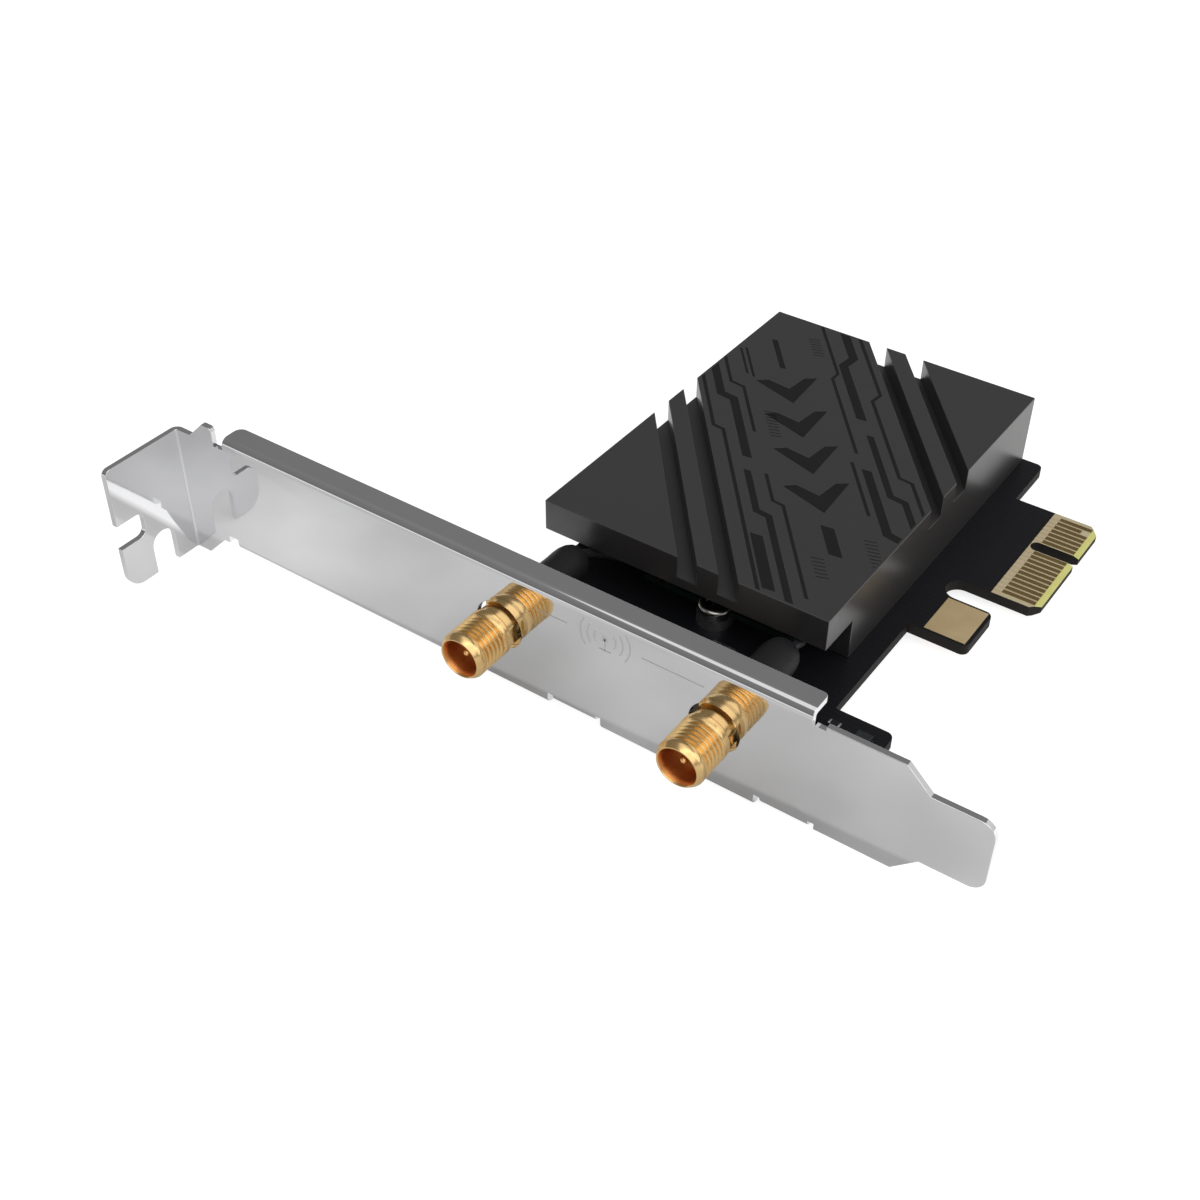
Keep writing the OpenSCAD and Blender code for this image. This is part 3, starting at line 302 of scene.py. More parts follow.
def makeSolderMask(look):
    # Black solder mask over copper tracks, which lift it a little and show a shade lighter.
    material = makeFinish("blackSolderMask", dict(shades=look["shades"], rough=(0.32, 0.46), patch=7, grain=0.4,
                                                  relief=0.002, ior=1.5, sockets=dullSkin))
    tree = material.node_tree
    shader = tree.nodes["Principled BSDF"]
    place = addNode(tree, "TexCoord").outputs["Object"]
    lay = addNode(tree, "Mapping", {"Location": (0.3, 0.3, 0.3)}, {"Vector": place})
    tracks = addNode(tree, "TexBrick", {"offset": 0.37, "Scale": 1 / mm, "Mortar Size": look["trackWidth"],
                                        "Brick Width": look["trackRun"], "Row Height": look["trackPitch"]},
                     {"Vector": lay}).outputs["Fac"]
    oldTone = shader.inputs["Base Color"].links[0].from_socket
    lifted = addNode(tree, "Mix", {"data_type": "RGBA", 7: linear(look["trackShade"])}, {0: tracks, 6: oldTone})
    tree.links.new(lifted.outputs[2], shader.inputs["Base Color"])
    oldBump = shader.inputs["Normal"].links[0].from_socket
    bump = addNode(tree, "Bump", {"Strength": 0.4, "Distance": look["relief"] * mm},
                   {"Height": tracks, "Normal": oldBump})
    tree.links.new(bump.outputs[0], shader.inputs["Normal"])
    return material


finish["blackSolderMask"] = makeSolderMask(maskLook)
print("materials made:", len(finish))


def dressNode(node, materialName):
    # A CAD node whose shape is right keeps its mesh and gets its finish.
    piece = nodes[node]
    for place in piece.material_slots:
        place.material = finish[materialName]
    if not piece.material_slots:
        piece.data.materials.append(finish[materialName])


# Bracket: polished sheet with sheared edges just broken, and a fine engraved mark between the ports

bracketLook = {"softEdge": 0.09}
addPiece(mergedCopy("bracket"), "slotBracket", [finish["polishedPlate"]], ["bracket"],
         bracketLook["softEdge"])

markLook = {
    "middle": 70.1, "height": 13.6, "lineWidth": 0.2, "proud": 0.03, "rules": [(60.3, 64.7), (75.2, 83.6)],
    "ruleShare": 0.7,  # the rules are finer than the sign's lines
    "mastFrom": -1.5, "mastTo": 0.3, "footHalf": 0.8, "tipHalf": 0.35, "tipTop": 0.6,
    "waves": (1.5, 2.5, 3.5), "waveHeight": 0.25, "openBy": 36,
}


def makePlateMark(look):
    # Two rules with a plain aerial sign between them: a mast, its foot, and waves to both sides.
    bm = bmesh.new()
    half, proud, x, z = look["lineWidth"] / 2, look["proud"], look["middle"], look["height"]
    foot, tip, thin = z + look["mastFrom"], z + look["tipTop"], half * look["ruleShare"]
    for x0, x1 in look["rules"]:
        block(bm, (x0, -proud, z - thin), (x1, proud, z + thin))
    block(bm, (x - half, -proud, foot), (x + half, proud, z + look["mastTo"]))
    block(bm, (x - look["footHalf"], -proud, foot - half), (x + look["footHalf"], proud, foot + half))
    block(bm, (x - look["tipHalf"], -proud, tip - 2 * look["tipHalf"]), (x + look["tipHalf"], proud, tip),
          soften=0.02)
    for radius in look["waves"]:
        for start in (-look["openBy"], 180 - look["openBy"]):
            section = [(radius + a * half, b * proud) for a, b in ((-1, -1), (1, -1), (1, 1), (-1, 1))]
            wave = swept(bm, section, radians(2 * look["openBy"]), 12, start=radians(start))
            bmesh.ops.transform(bm, matrix=placed(x, 0, z + look["waveHeight"], outOfPlate), verts=wave)
    addPiece(bm, "plateMark", [finish["satinPlate"]])


makePlateMark(markLook)
print("bracket done")

# Circuit board: masked faces, routed edges, bare strips at the contacts

boardLook = {"softEdge": 0.05, "padEdge": 0.015, "bandStart": 98.2, "bandEnd": 99.35, "contactEnd": 104.0,
             "blocks": (48.23, 69.43)}


def makeBoard(look):
    bm = mergedCopy("circuit_board")
    for x in (look["bandStart"], look["bandEnd"], look["contactEnd"]):
        bmesh.ops.bisect_plane(bm, geom=bm.verts[:] + bm.edges[:] + bm.faces[:], dist=1e-7, plane_co=at(x, 0, 0),
                               plane_no=(1, 0, 0))
    y0, y1 = (at(0, y, 0).y for y in look["blocks"])
    for face in bm.faces:
        middle = face.calc_center_median()
        if abs(face.normal.z) < 0.5:
            face.material_index = 1
        elif y0 < middle.y < y1 and middle.x > at(look["bandStart"], 0, 0).x:
            inContacts = middle.x < at(look["contactEnd"], 0, 0).x
            inBand = middle.x < at(look["bandEnd"], 0, 0).x
            face.material_index = 4 if inBand else 2 if inContacts else 3
    shades = [finish[n] for n in ("blackSolderMask", "routedEdge", "paleLaminate", "bareLaminate", "dullGold")]
    addPiece(bm, "cardBoard", shades, ["circuit_board"], look["softEdge"])


def makeContacts(node, name, look):
    # The pads, bright where the slot's springs wipe them and dull at their roots.
    bm = mergedCopy(node)
    bmesh.ops.bisect_plane(bm, geom=bm.verts[:] + bm.edges[:] + bm.faces[:], dist=1e-7,
                           plane_co=at(look["bandEnd"], 0, 0), plane_no=(1, 0, 0))
    for face in bm.faces:
        face.material_index = 1 if face.calc_center_median().x < at(look["bandEnd"], 0, 0).x else 0
    addPiece(bm, name, [finish["hardGold"], finish["dullGold"]], [node], look["padEdge"])


makeBoard(boardLook)
makeContacts("edge_contacts_top", "contactsTop", boardLook)
makeContacts("edge_contacts_bottom", "contactsBottom", boardLook)
dressNode("lock_tab_pads", "padGold")
print("board done")

# Heatsink: milled block with broken edges, and a screened pattern of tracks on its top

sinkLook = {"softEdge": 0.12, "left": 47.43, "right": 89.17, "front": 18.83, "back": 78.64, "top": 12.81}
addPiece(mergedCopy("heatsink"), "heatsinkBlock", [finish["brushedBlackAluminium"]],
         ["heatsink"], sinkLook["softEdge"])

printLook = {"thick": 0.012, "margin": 0.35}
# Each track is (width, points), in millimetres along and across the grooves from the heatsink's middle
tracks = [
    (0.5, [(-34, -11.2), (-6, -11.2), (-4.8, -10), (30, -10)]),
    (1.2, [(-34, -9.2), (-14, -9.2), (-12.4, -7.6), (2, -7.6)]),
    (0.45, [(-30, -7.4), (-17, -7.4), (-15.4, -5.8), (-4, -5.8)]),
    (0.9, [(5, -8), (14, -8), (15.4, -6.6), (34, -6.6)]),
    (1.5, [(19, -8.7), (30, -8.7)]),
    (0.35, [(-26, -4.8), (-19, -4.8)]), (0.35, [(-26, -4), (-18, -4)]),
    (0.45, [(6, -5.6), (12, -5.6), (13.2, -4.4), (32, -4.4)]),
    (0.5, [(-34, 13.2), (-12, 13.2), (-10.6, 11.8), (8, 11.8), (9.4, 13.2), (36, 13.2)]),
    (1.3, [(-36, 11.2), (-22, 11.2), (-20.2, 9.4), (-6, 9.4)]),
    (0.9, [(-2, 9.8), (12, 9.8), (13.6, 11.4), (34, 11.4)]),
    (0.45, [(-34, 8.2), (-18, 8.2), (-16.8, 7.2), (2, 7.2)]),
    (1.2, [(6, 7.8), (20, 7.8), (21.8, 9.4), (34, 9.4)]),
    (0.45, [(4, 6.2), (16, 6.2)]),
    (0.8, [(-28, 0.5), (-20, 0.5)]), (1.6, [(18, 0.5), (24, 0.5)]),
]
# Bold angle marks down the middle, and rows of short ticks: (start along, across, how many)
for step in range(4):
    tracks.append((2.3, [(-17 + step * 8.6, -2.9), (-12.6 + step * 8.6, 0.6), (-17 + step * 8.6, 4.1)]))
for along, across, count in ((-9, -3.8, 9), (21, 4.6, 12), (-28, 5.6, 7), (24, -2.6, 6)):
    tracks += [(0.3, [(along + i * 0.75, across), (along + i * 0.75 + 0.6, across + 1.5)]) for i in range(count)]


def makePrint(look, sink):
    bm = bmesh.new()
    middle = ((sink["left"] + sink["right"]) / 2, (sink["front"] + sink["back"]) / 2)
    lay = placed(*middle, sink["top"], Matrix.Rotation(radians(-sinkFinish["grooveAngle"]), 4, "Z"))

    def strip(width, points):
        # One mitred ribbon along the points: a pair of corners at each, then faces between the pairs.
        pairs = []
        for i, (u, v) in enumerate(points):
            before, after = points[max(i - 1, 0)], points[min(i + 1, len(points) - 1)]
            arrives = [atan2(v - before[1], u - before[0])] * (i > 0)
            leaves = [atan2(after[1] - v, after[0] - u)] * (i < len(points) - 1)
            ways = arrives + leaves
            way = sum(ways) / len(ways)
            reach = width / 2 / cos((ways[-1] - ways[0]) / 2)
            slant = 0.6 * width if i in (0, len(points) - 1) else 0  # strip ends are cut on the slant
            side = (-sin(way) * reach, cos(way) * reach)
            pairs.append([bm.verts.new((u + side[0] + slant / 2, v + side[1], 0)),
                          bm.verts.new((u - side[0] - slant / 2, v - side[1], 0))])
        for (a, b), (c, d) in zip(pairs, pairs[1:]):
            bm.faces.new((a, b, d, c))

    for width, points in tracks:
        strip(width, points)
    bmesh.ops.recalc_face_normals(bm, faces=bm.faces)
    bmesh.ops.transform(bm, matrix=lay, verts=bm.verts)
    for co, no in [((sink["left"] + look["margin"], 0), (-1, 0)), ((sink["right"] - look["margin"], 0), (1, 0)),
                   ((0, sink["front"] + look["margin"]), (0, -1)), ((0, sink["back"] - look["margin"]), (0, 1))]:
        bmesh.ops.bisect_plane(bm, geom=bm.verts[:] + bm.edges[:] + bm.faces[:], dist=1e-8,
                               plane_co=at(*co, 0), plane_no=(*no, 0), clear_outer=True)
    for face in bm.faces:
        if face.normal.z < 0:
            face.normal_flip()
    raised = bmesh.ops.extrude_face_region(bm, geom=bm.faces[:])
    bmesh.ops.translate(bm, vec=(0, 0, look["thick"] * mm),
                        verts=[v for v in raised["geom"] if isinstance(v, bmesh.types.BMVert)])
    bmesh.ops.recalc_face_normals(bm, faces=bm.faces)
    addPiece(bm, "heatsinkPrint", [finish["sinkInk"]])


makePrint(printLook, sinkLook)
dressNode("thermal_pad", "gapFiller")
print("heatsink done")

# Screws: pan heads with a cross recess

# Heads and shanks are (radius, length)
screwLooks = {
    "heatsinkScrews": dict(node="heatsink_screws",
                           places=[(x, y, 0.46) for x in (50.43, 86.17) for y in (28.83, 75.64)],
                           turn=Matrix.Identity(4), head=(2, 1.2), shank=(1, 6.57), material="blackScrew",
                           slot="black_screw"),
    "bracketScrews": dict(node="bracket_screws", places=[(65.5, 6.9, 2.03), (94.9, 6.9, 2.03)], turn=headDown,
                          head=(2.8, 1.8), shank=(1.5, 2.83), material="nickelScrew", slot="screw_steel"),
    "radioScrew": dict(node="radio_screw", places=[(71.59, 22.5, 4.28)], turn=headDown, head=(2.25, 0.7),
                       shank=(1, 2.25), material="nickelScrew", slot="screw_steel"),
}
# Head's outline as shares of (radius, height), and its cross as shares (width, reach, depth, narrowing downwards)
headOutline = [(1, 0.35), (0.96, 0.62), (0.87, 0.84), (0.76, 0.97), (0.66, 1), (0, 1)]
crossShares = (0.22, 1.1, 0.6, 0.75)


def cutCross(bm, top, width, reach, depth, narrowing):
    # Splits the flat top into a grid, and sinks the squares that make a cross.
    def topFaces():
        return [f for f in bm.faces if all(v.co.z < top + 1e-3 for v in f.verts)]

    bmesh.ops.dissolve_faces(bm, faces=topFaces())
    for axis in ((1, 0, 0), (0, 1, 0)):
        for way in (-reach / 2, -width / 2, width / 2, reach / 2):
            faces = topFaces()
            geom = faces + cornersOf(faces) + list({e for f in faces for e in f.edges})
            bmesh.ops.bisect_plane(bm, geom=geom, dist=1e-5, plane_co=[way * k for k in axis], plane_no=axis)

    def inCross(face):
        x, y = (abs(k) for k in face.calc_center_median().xy)
        return (x < width / 2 and y < reach / 2) or (y < width / 2 and x < reach / 2)

    cross = [f for f in topFaces() if inCross(f)]
    sunk = bmesh.ops.extrude_face_region(bm, geom=cross)
    corners = [v for v in sunk["geom"] if isinstance(v, bmesh.types.BMVert)]
    bmesh.ops.delete(bm, geom=cross, context="FACES")
    bmesh.ops.translate(bm, vec=(0, 0, depth), verts=corners)
    for corner in corners:
        corner.co.xy *= narrowing


def makeScrews(name, look):
    whole = bmesh.new()
    r, h = look["head"]
    shankR, shankL = look["shank"]
    for x, y, z in look["places"]:
        bm = bmesh.new()
        shank = [(0, shankL), (shankR - 0.2, shankL), (shankR, shankL - 0.2), (shankR, 0), (r - 0.06, 0), (r, -0.06)]
        turned(bm, shank + [(r * across, -h * up) for across, up in headOutline], Matrix.Identity(4), 40)
        width, reach, depth, narrowing = crossShares
        cutCross(bm, -h, r * width, r * reach, h * depth, narrowing)
        bmesh.ops.recalc_face_normals(bm, faces=bm.faces)
        stopped = radians(25 + x * 7)  # each screw comes to rest at its own angle
        bmesh.ops.rotate(bm, cent=(0, 0, 0), matrix=Matrix.Rotation(stopped, 3, "Z"), verts=bm.verts)
        bmesh.ops.transform(bm, matrix=placed(x, y, z, look["turn"]), verts=bm.verts)
        one = bpy.data.meshes.new("oneScrew")
        bm.to_mesh(one)
        bm.free()
        whole.from_mesh(one)
        bpy.data.meshes.remove(one)
    addPiece(whole, name, [finish[look["material"]]], [look["node"]])


for name, look in screwLooks.items():
    makeScrews(name, look)
print("screws done")

# Antenna ports: turned and threaded bodies, each with its pin, boot and lead

portLook = {
    "x": {"1": 54.4, "2": 85.2}, "z": 8.2, "pitch": 0.7056, "crest": 3.17, "root": 2.78, "threadFrom": 2.62,
    "threadTo": 6.4, "threadFoot": 0.34, "threadTip": 0.06, "flats": 2.6, "stepsPerTurn": 40,
    "boreRadius": 2.75, "boreFrom": 3.2, "boreTo": 7.6, "sides": 64, "pinSides": 32, "bootSides": 48,
}
# Outer face and bore of the body in front of the plate, as (radius, distance out of the plate)
portShell = [(2.62, 7.7), (2.74, 7.68), (3.08, 7.16), (3.175, 6.9), (3.175, 6.5), (3.08, 6.36), (2.78, 6.28),
             (2.78, 2.7), (3.08, 2.62), (3.175, 2.5), (3.175, 1.62), (2.9, 1.34), (2.86, 1.3), (1.5, 1.3), (1.5, 3.3)]
portBore = [(1.5, 3.3), (2.3, 3.3), (2.3, 6.8), (2.36, 7.05), (2.54, 7.62), (2.62, 7.7)]
portNeck = [(1.5, 1.3), (2.9, 1.3), (2.9, -0.86), (4.54, -0.86), (4.6, -0.92), (4.6, -2.3), (4.54, -2.36),
            (2.1, -2.36), (2.1, -6.16), (0.65, -6.16), (0.65, -5.56), (1.5, -5.56)]
portPin = [(0, -6.16), (0.47, -6.16), (0.47, 6.1), (0.43, 6.34), (0.3, 6.52), (0.14, 6.59), (0, 6.6)]


def makePort(number, look):
    place = placed(look["x"][number], 0, look["z"], outOfPlate)
    bm = bmesh.new()
    faces = turned(bm, portShell + portBore[1:-1], Matrix.Identity(4), look["sides"], ring=True)
    # faces turned into the bore take the darker, redder gold, as painted shade of the recess
    for face in faces:
        middle = face.calc_center_median()
        inBore = middle.xy.length < look["boreRadius"] and look["boreFrom"] < middle.z < look["boreTo"]
        if inBore and face.normal.xy.dot(middle.xy) <= 0:
            face.material_index = 1
    # Thread: one ridge goes round like a screw, its two ends sunk in the smooth bands
    turns = (look["threadTo"] - look["threadFrom"]) / look["pitch"]
    steps = round(turns * look["stepsPerTurn"])
    foot, tip = look["threadFoot"], look["threadTip"]
    ridge = [(look["root"] - 0.06, -foot), (look["crest"], -tip), (look["crest"], tip), (look["root"] - 0.06, foot)]
    swept(bm, [(r, h + look["threadFrom"]) for r, h in ridge], 2 * pi * turns, steps, turns * look["pitch"])
    # Neck, shoulder and stem with two flats
    part = bmesh.new()
    turned(part, portNeck, Matrix.Identity(4), look["sides"], ring=True)
    for way in (-1, 1):
        cut = bmesh.ops.bisect_plane(part, geom=part.verts[:] + part.edges[:] + part.faces[:], dist=1e-6,
                                     plane_co=(look["flats"] * way, 0, 0), plane_no=(way, 0, 0), clear_outer=True)
        edges = [e for e in cut["geom_cut"] if isinstance(e, bmesh.types.BMEdge)]
        bmesh.ops.edgenet_fill(part, edges=edges)
    bmesh.ops.recalc_face_normals(part, faces=part.faces)
    flatted = bpy.data.meshes.new("flatted")
    part.to_mesh(flatted)
    part.free()
    bm.from_mesh(flatted)
    bpy.data.meshes.remove(flatted)
    bmesh.ops.transform(bm, matrix=place, verts=bm.verts)
    addPiece(bm, "antennaPort" + number, [finish["goldOnBrass"], finish["boreShadedGold"]],
             ["antenna_port_" + number], sharpFrom=40)
    pin = bmesh.new()
    turned(pin, portPin, place, look["pinSides"])
    addPiece(pin, "portPin" + number, [finish["goldOnBrass"]], ["port_pin_" + number])
    dressNode("port_insulator_" + number, "whitePolymer")
    dressNode("crimp_ferrule_" + number, "ferruleBrass")


bootProfile = [(2.15, -2.36), (2.5, -2.36), (2.58, -2.5), (2.6, -3.2), (2.56, -4.4), (2.6, -5.6), (2.54, -6.8),
               (2.58, -8.2), (2.52, -9.6), (2.57, -11.0), (2.53, -12.4), (2.56, -13.6), (2.5, -14.6), (2.3, -15.5),
               (2.0, -16.1), (1.7, -16.4), (0.65, -16.4), (0.65, -12.02), (1.65, -12.02), (1.65, -6.22), (2.15, -6.22)]
leadRoutes = {
    "1": [(54.4, 6.21, 8.2), (54.4, 9.27, 8.2), (54.4, 12.32, 8.2), (54.4, 14.36, 8.2), (54.4, 16.4, 8.2),
          (54.4, 17.62, 7.81), (54.5, 18.78, 7.3), (54.9, 19.94, 6.79), (55.71, 20.96, 6.31), (56.82, 21.84, 5.89),
          (58.13, 22.66, 5.58), (59.44, 23.2, 5.38), (60.53, 23.71, 5.38)],
    "2": [(85.2, 6.21, 8.2), (85.2, 9.27, 8.2), (85.2, 12.32, 8.2), (85.2, 14.36, 8.2), (85.2, 16.4, 8.2),
          (85.3, 17.58, 7.81), (85.3, 18.82, 7.3), (85.2, 20.0, 6.71), (84.82, 21.01, 6.11), (84.11, 21.78, 5.66),
          (83.18, 22.31, 5.38), (82.25, 23.07, 5.38)],
}
leadRadius = 0.6


def makeLead(number):
    line = bpy.data.curves.new("coaxLead" + number, "CURVE")
    line.dimensions = "3D"
    line.bevel_depth = leadRadius * mm
    line.bevel_resolution = 5
    line.resolution_u = 6
    line.use_fill_caps = True
    run = line.splines.new("BEZIER")
    run.bezier_points.add(len(leadRoutes[number]) - 1)
    for point, place in zip(run.bezier_points, leadRoutes[number]):
        point.co = at(*place)
        point.handle_left_type = point.handle_right_type = "AUTO"
    line.materials.append(finish["coaxJacket"])
    piece = bpy.data.objects.new("coaxLead" + number, line)
    scene.collection.objects.link(piece)
    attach(piece, "root")
    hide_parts("coax_lead_" + number)


for number in ("1", "2"):
    makePort(number, portLook)
    boot = bmesh.new()
    turned(boot, bootProfile, placed(portLook["x"][number], 0, portLook["z"], outOfPlate), portLook["bootSides"],
           ring=True)
    addPiece(boot, "leadBoot" + number, [finish["shrunkSleeve"]], ["lead_boot_" + number],
             sharpFrom=50)
    makeLead(number)
    addPiece(mergedCopy("coax_plug_" + number), "coaxPlug" + number, [finish["ferruleBrass"]],
             ["coax_plug_" + number], 0.12)
print("ports and leads done")

# Radio module under the heatsink, in its socket

for node, name, material, slot, soften in [
    # the module board's mask is darkened as painted shade under the heatsink
    ("radio_board", "radioBoard", "moduleResistPaintedShade", "module_resist", 0.04),
    ("radio_shield", "radioShield", "tinnedSheet", "shield_steel", 0.12),
    ("module_socket", "moduleSocket", "blackResin", "socket_resin", 0.1),
    ("lead_header", "leadHeader", "naturalNylon", "header_nylon", 0.08),
]:
    addPiece(mergedCopy(node), name, [finish[material]], [node], soften)
for node, material in [("socket_contacts", "hardGold"), ("radio_standoff", "tinned"),
                       ("antenna_receptacles", "hardGold"), ("lead_header_pins", "tinned")]:
    dressNode(node, material)
print("module done")


# Small components

chipLook = {"inset": 0.03, "dipEdge": 0.07}  # the body stands back a little from its round-edged tinned ends


def endCapped(node, name, body, cap, share):
    # Chips whose two ends are dipped in tin: each box is cut across near its ends.
    bm = bmesh.new()
    whole = mergedCopy(node)
    boxes = []
    left = set(whole.verts)
    while left:  # one box at a time
        reach = [left.pop()]
        members = set(reach)
        while reach:
            for edge in reach.pop().link_edges:
                for v in edge.verts:
                    if v not in members:
                        members.add(v)
                        reach.append(v)
        left -= members
        low = Vector([min(v.co[k] for v in members) for k in range(3)])
        high = Vector([max(v.co[k] for v in members) for k in range(3)])
        boxes.append((low, high))
    whole.free()
    for low, high in boxes:
        a, b = (corner / mm + cornerToOrigin for corner in (low, high))
        dip = (b.x - a.x) * share
        inset, dipEdge = chipLook["inset"], chipLook["dipEdge"]
        block(bm, (a.x + dip, a.y + inset, a.z), (b.x - dip, b.y - inset, b.z - inset), 0)
        block(bm, (a.x, a.y, a.z), (a.x + dip, b.y, b.z), 1, dipEdge)
        block(bm, (b.x - dip, a.y, a.z), (b.x, b.y, b.z), 1, dipEdge)
    addPiece(bm, name, [finish[body], finish[cap]], [node])


endCapped("capacitors", "ceramicCapacitors", "tanCeramic", "tinned", 0.22)
endCapped("resistors", "chipResistors", "blackResin", "tinned", 0.2)


def makeByHeight(node, name, body, low, height, soften):
    # What lies below the height is the part's feet, in their own finish.
    bm = mergedCopy(node)
    for face in bm.faces:
        face.material_index = int(max(v.co.z for v in face.verts) < at(0, 0, height).z)
    addPiece(bm, name, [finish[body], finish[low]], [node], soften)


makeByHeight("voltage_regulator", "voltageRegulator", "blackResin", "tinned", 2.5, 0.08)
addPiece(mergedCopy("power_inductor"), "powerInductor", [finish["ferriteCore"]], ["power_inductor"], 0.1)
makeByHeight("status_light", "statusLight", "lightResin", "tinned", 2.1, 0.08)
print("components done")

# Floor, light and camera

studioLook = {
    "floor": "#f4f4f3", "floorRough": 0.9, "floorSheen": 0.1, "floorHalf": 3, "floorGap": 0.00003, "worldLight": 0.72,
    "floorGlow": 1.35, "glowShare": 0.6,  # keeps the floor white in the picture, with the card's shadow on it
    "mirrorShare": 0.55, "litFloor": 0.36,  # polished metal sees this share of tones, over the lit floor's own
    # Painted reflection, for glossy rays only: the floor glows by the distance behind the plate, grey in front, a
    # painted shadow band under its lower edge, white behind; brighter by the tab and the tongue, with soft clouds
    "paintedReflectionTones": [(-8, 0.545), (-2.9, 0.545), (-2.3, 0.42), (0.2, 0.42), (1.4, 1.0), (8, 1.0)],
    "paintedTabGlow": 0.2, "tabSpot": (11, -10, -4), "tabReach": (4, 20), "paintedTongueGlow": 0.04, "tongueReach": (88, 112),
    "cloud": 0.07, "cloudSize": 26,
    # What it sees of the room, by the height it looks at: a white rim at eye level and a dim ceiling
    "ceiling": [(0.0, 1.0), (0.08, 1.0), (0.13, 0.25), (0.3, 0.16), (0.5, 0.2), (0.72, 0.2), (0.882, 0.24),
                (0.892, 0.85), (1.0, 0.85)],
}


def fillRamp(ramp, levels):
    stops = ramp.color_ramp.elements
    stops.remove(stops[1])
    for i, (position, level) in enumerate(levels):
        stop = stops.new(position) if i else stops[0]
        stop.color = (level, level, level, 1)


def floorPlane():
    # The card lies on three points: the bracket's neck, its lower flange and a heatsink screw.
    neck, flange, screw = at(1.5, 0.4, -4.1), at(90.95, 2.5, -1.2), at(86.17, 75.64, -0.74)
    normal = (flange - neck).cross(screw - neck).normalized()
    return neck, normal if normal.z > 0 else -normal


def makeFloor(look):
    start, normal = floorPlane()
    bm = bmesh.new()
    bmesh.ops.create_grid(bm, x_segments=1, y_segments=1, size=look["floorHalf"])
    turn = normal.to_track_quat("Z", "Y").to_matrix().to_4x4()
    bmesh.ops.transform(bm, matrix=Matrix.Translation(start - normal * look["floorGap"]) @ turn, verts=bm.verts)
    mesh = bpy.data.meshes.new("studioFloor")
    bm.to_mesh(mesh)
    bm.free()
    floor = bpy.data.objects.new("studioFloor", mesh)
    scene.collection.objects.link(floor)
    material = bpy.data.materials.new("paleFloor")
    material.use_nodes = True
    tree = material.node_tree
    shader = tree.nodes["Principled BSDF"]
    shader.inputs["Base Color"].default_value = linear(look["floor"])
    shader.inputs["Roughness"].default_value = look["floorRough"]
    shader.inputs["Specular IOR Level"].default_value = look["floorSheen"]
    path = addNode(tree, "LightPath")
    plain = addNode(tree, "Emission", {"Color": (1, 1, 1, 1), "Strength": look["floorGlow"]})
    white = addNode(tree, "MixShader", {0: look["glowShare"]}, {1: shader.outputs[0], 2: plain})
    # The metal's share: painted reflection, a glow over the floor for glossy rays, from its own place on it
    place = addNode(tree, "TexCoord").outputs["Object"]
    axes = addNode(tree, "SeparateXYZ", {}, {0: place})
    depths, tones = zip(*look["paintedReflectionTones"])
    span = addNode(tree, "MapRange", {"From Min": at(0, depths[0], 0).y, "From Max": at(0, depths[-1], 0).y},
                   {"Value": axes.outputs["Y"]})
    behind = addNode(tree, "ValToRGB", {}, {"Fac": span})
    fillRamp(behind, [((d - depths[0]) / (depths[-1] - depths[0]), tone) for d, tone in zip(depths, tones)])
    fromTab = addNode(tree, "VectorMath", {"operation": "DISTANCE", 1: at(*look["tabSpot"])}, {0: place})
    nearTab, farFromTab = (r * mm for r in look["tabReach"])
    paintedTabGlow = addNode(tree, "MapRange", {"From Min": nearTab, "From Max": farFromTab, "To Min": look["paintedTabGlow"],
                                       "To Max": 0}, {"Value": fromTab.outputs["Value"]})
    tongueStart, tongueEnd = (at(x, 0, 0).x for x in look["tongueReach"])
    paintedTongueGlow = addNode(tree, "MapRange", {"From Min": tongueStart, "From Max": tongueEnd, "To Min": 0,
                                          "To Max": look["paintedTongueGlow"]}, {"Value": axes.outputs["X"]})
    clouds = addNode(tree, "TexNoise", {"Scale": 1 / (look["cloudSize"] * mm), "Detail": 2}, {"Vector": place})
    cloud = addNode(tree, "MapRange", {"From Min": 0.35, "From Max": 0.65, "To Min": -look["cloud"],
                                       "To Max": look["cloud"]}, {"Value": clouds})
    level = addNode(tree, "Math", {"operation": "ADD"}, {0: behind, 1: paintedTabGlow})
    level = addNode(tree, "Math", {"operation": "ADD"}, {0: level, 1: paintedTongueGlow})
    level = addNode(tree, "Math", {"operation": "ADD"}, {0: level, 1: cloud})
    level = addNode(tree, "Math", {"operation": "SUBTRACT", 1: look["litFloor"]}, {0: level})
    level = addNode(tree, "Math", {"operation": "DIVIDE", 1: look["mirrorShare"]}, {0: level})
    # the floor glows at this level for glossy rays only: painted reflection and painted shadow
    shown = addNode(tree, "Emission", {"Color": (1, 1, 1, 1)}, {"Strength": level})
    mirrored = addNode(tree, "MixShader", {0: look["mirrorShare"]}, {1: shader.outputs[0], 2: shown})
    through = addNode(tree, "Math", {"operation": "MAXIMUM"}, {0: path.outputs["Is Camera Ray"],
                                                              1: path.outputs["Is Transmission Ray"]})
    mixed = addNode(tree, "MixShader", {}, {0: through, 1: shader.outputs[0], 2: white})
    mixed = addNode(tree, "MixShader", {}, {0: path.outputs["Is Glossy Ray"], 1: mixed, 2: mirrored})
    tree.links.new(mixed.outputs[0], tree.nodes["Material Output"].inputs["Surface"])
    mesh.materials.append(material)


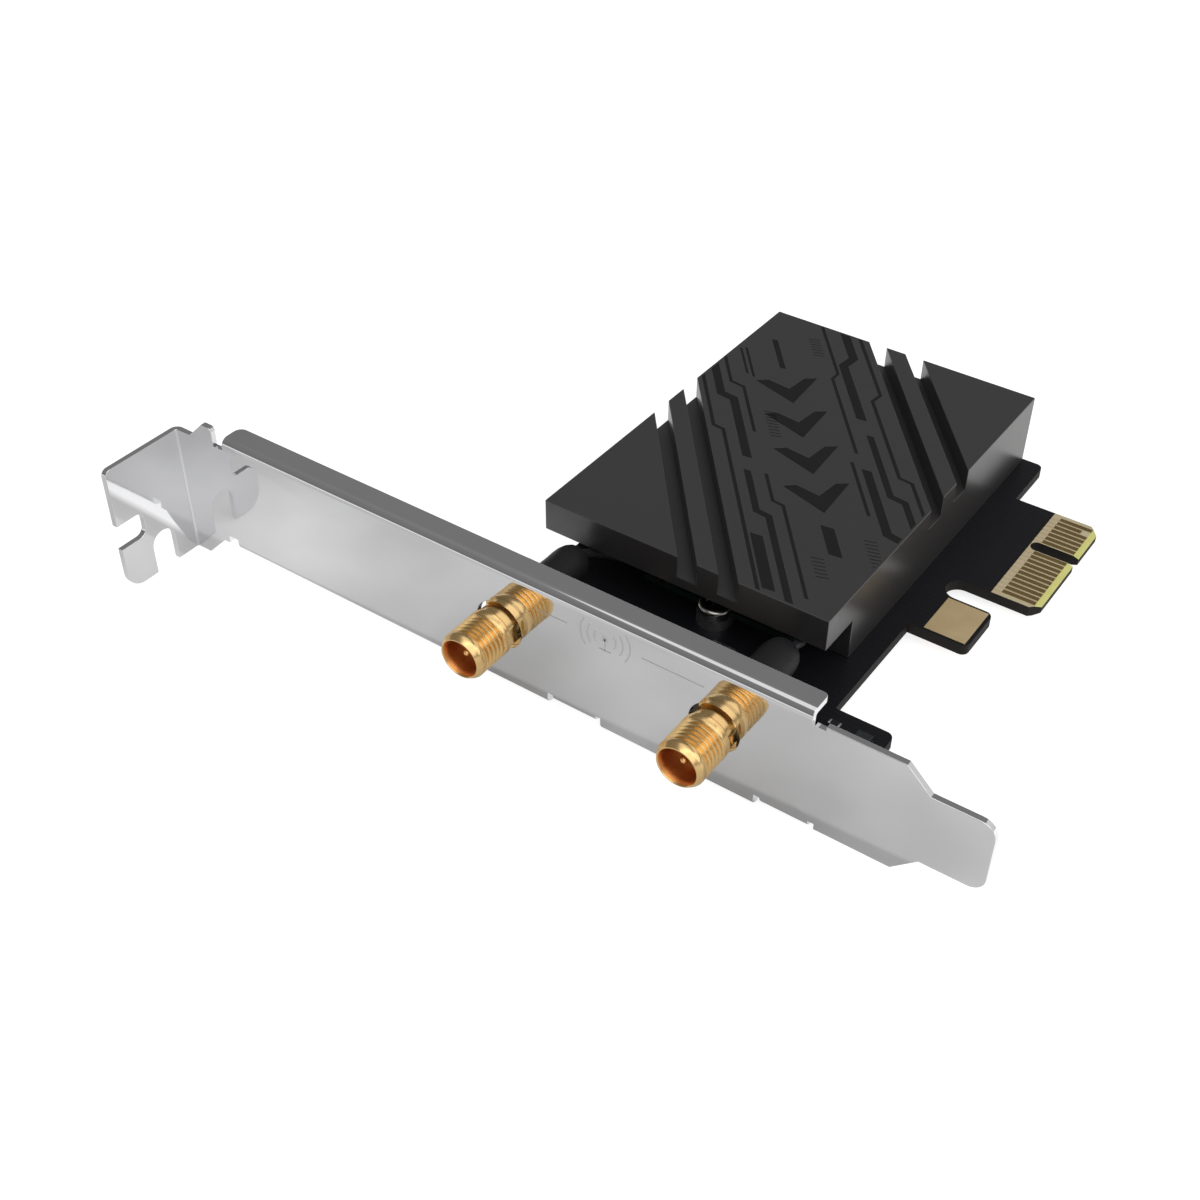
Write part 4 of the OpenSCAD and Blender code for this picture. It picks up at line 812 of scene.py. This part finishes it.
def makeWorld(look):
    # White all round at eye level, a dusky ceiling for what lies flat to mirror, plain light for the rest.
    world = bpy.data.worlds.new("studio")
    scene.world = world
    world.use_nodes = True
    tree = world.node_tree
    tree.nodes.clear()
    way = addNode(tree, "TexCoord").outputs["Generated"]
    height = addNode(tree, "SeparateXYZ", {}, {0: way}).outputs["Z"]
    ramp = addNode(tree, "ValToRGB", {}, {"Fac": height})
    fillRamp(ramp, look["ceiling"])
    path = addNode(tree, "LightPath")
    mirrored = addNode(tree, "Background", {"Strength": 1.0}, {"Color": ramp})
    plain = addNode(tree, "Background", {"Color": (1, 1, 1, 1), "Strength": look["worldLight"]})
    white = addNode(tree, "Background", {"Color": (1, 1, 1, 1), "Strength": 1.0})
    first = addNode(tree, "MixShader", {}, {0: path.outputs["Is Glossy Ray"], 1: plain, 2: mirrored})
    through = addNode(tree, "Math", {"operation": "MAXIMUM"}, {0: path.outputs["Is Camera Ray"],
                                                              1: path.outputs["Is Transmission Ray"]})
    second = addNode(tree, "MixShader", {}, {0: through, 1: first, 2: white})
    addNode(tree, "OutputWorld", {}, {0: second})


lamps = {
    # name: (place, aimed at, size, watts), in metres from the frame's origin
    "softKey": ((0.26, -0.46, 0.56), (-0.05, -0.04, 0), 0.85, 2.4),
    "softFill": ((0.52, 0.02, 0.4), (-0.05, -0.04, 0), 0.5, 0.9),
    "backStrip": ((0.4, 0.42, 0.34), (-0.05, -0.04, 0), 0.5, 0.4),
}


def makeLamps():
    for name, (place, aim, size, watts) in lamps.items():
        light = bpy.data.lights.new(name, "AREA")
        light.shape = "SQUARE"
        light.size = size
        light.energy = watts
        lamp = bpy.data.objects.new(name, light)
        lamp.location = place
        lamp.rotation_mode = "QUATERNION"
        lamp.rotation_quaternion = (Vector(aim) - Vector(place)).to_track_quat("-Z", "Y")
        scene.collection.objects.link(lamp)


# Camera solved from the photograph's straight edges, in the bracket's millimetres
cameraLook = {
    "place": (149.42995, -114.44432, 135.91446), "lens": 48.2027, "sensor": 36,
    "right": (0.81701723, 0.57659168, 0.00498809), "down": (0.37250391, -0.5211868, -0.76785751),
    "forward": (-0.44014052, 0.6292109, -0.64060125),
}


def makeCamera(look):
    camera = bpy.data.objects.new("photoCamera", bpy.data.cameras.new("photoCamera"))
    scene.collection.objects.link(camera)
    camera.data.lens = look["lens"]
    camera.data.sensor_width = look["sensor"]
    camera.data.clip_start = 0.005
    axes = Matrix((look["right"], -Vector(look["down"]), -Vector(look["forward"]))).transposed()
    camera.matrix_world = Matrix.Translation(at(*look["place"])) @ axes.to_4x4()
    scene.camera = camera


makeFloor(studioLook)
makeWorld(studioLook)
makeLamps()
makeCamera(cameraLook)
scene.view_settings.view_transform = "Standard"
print("studio done")
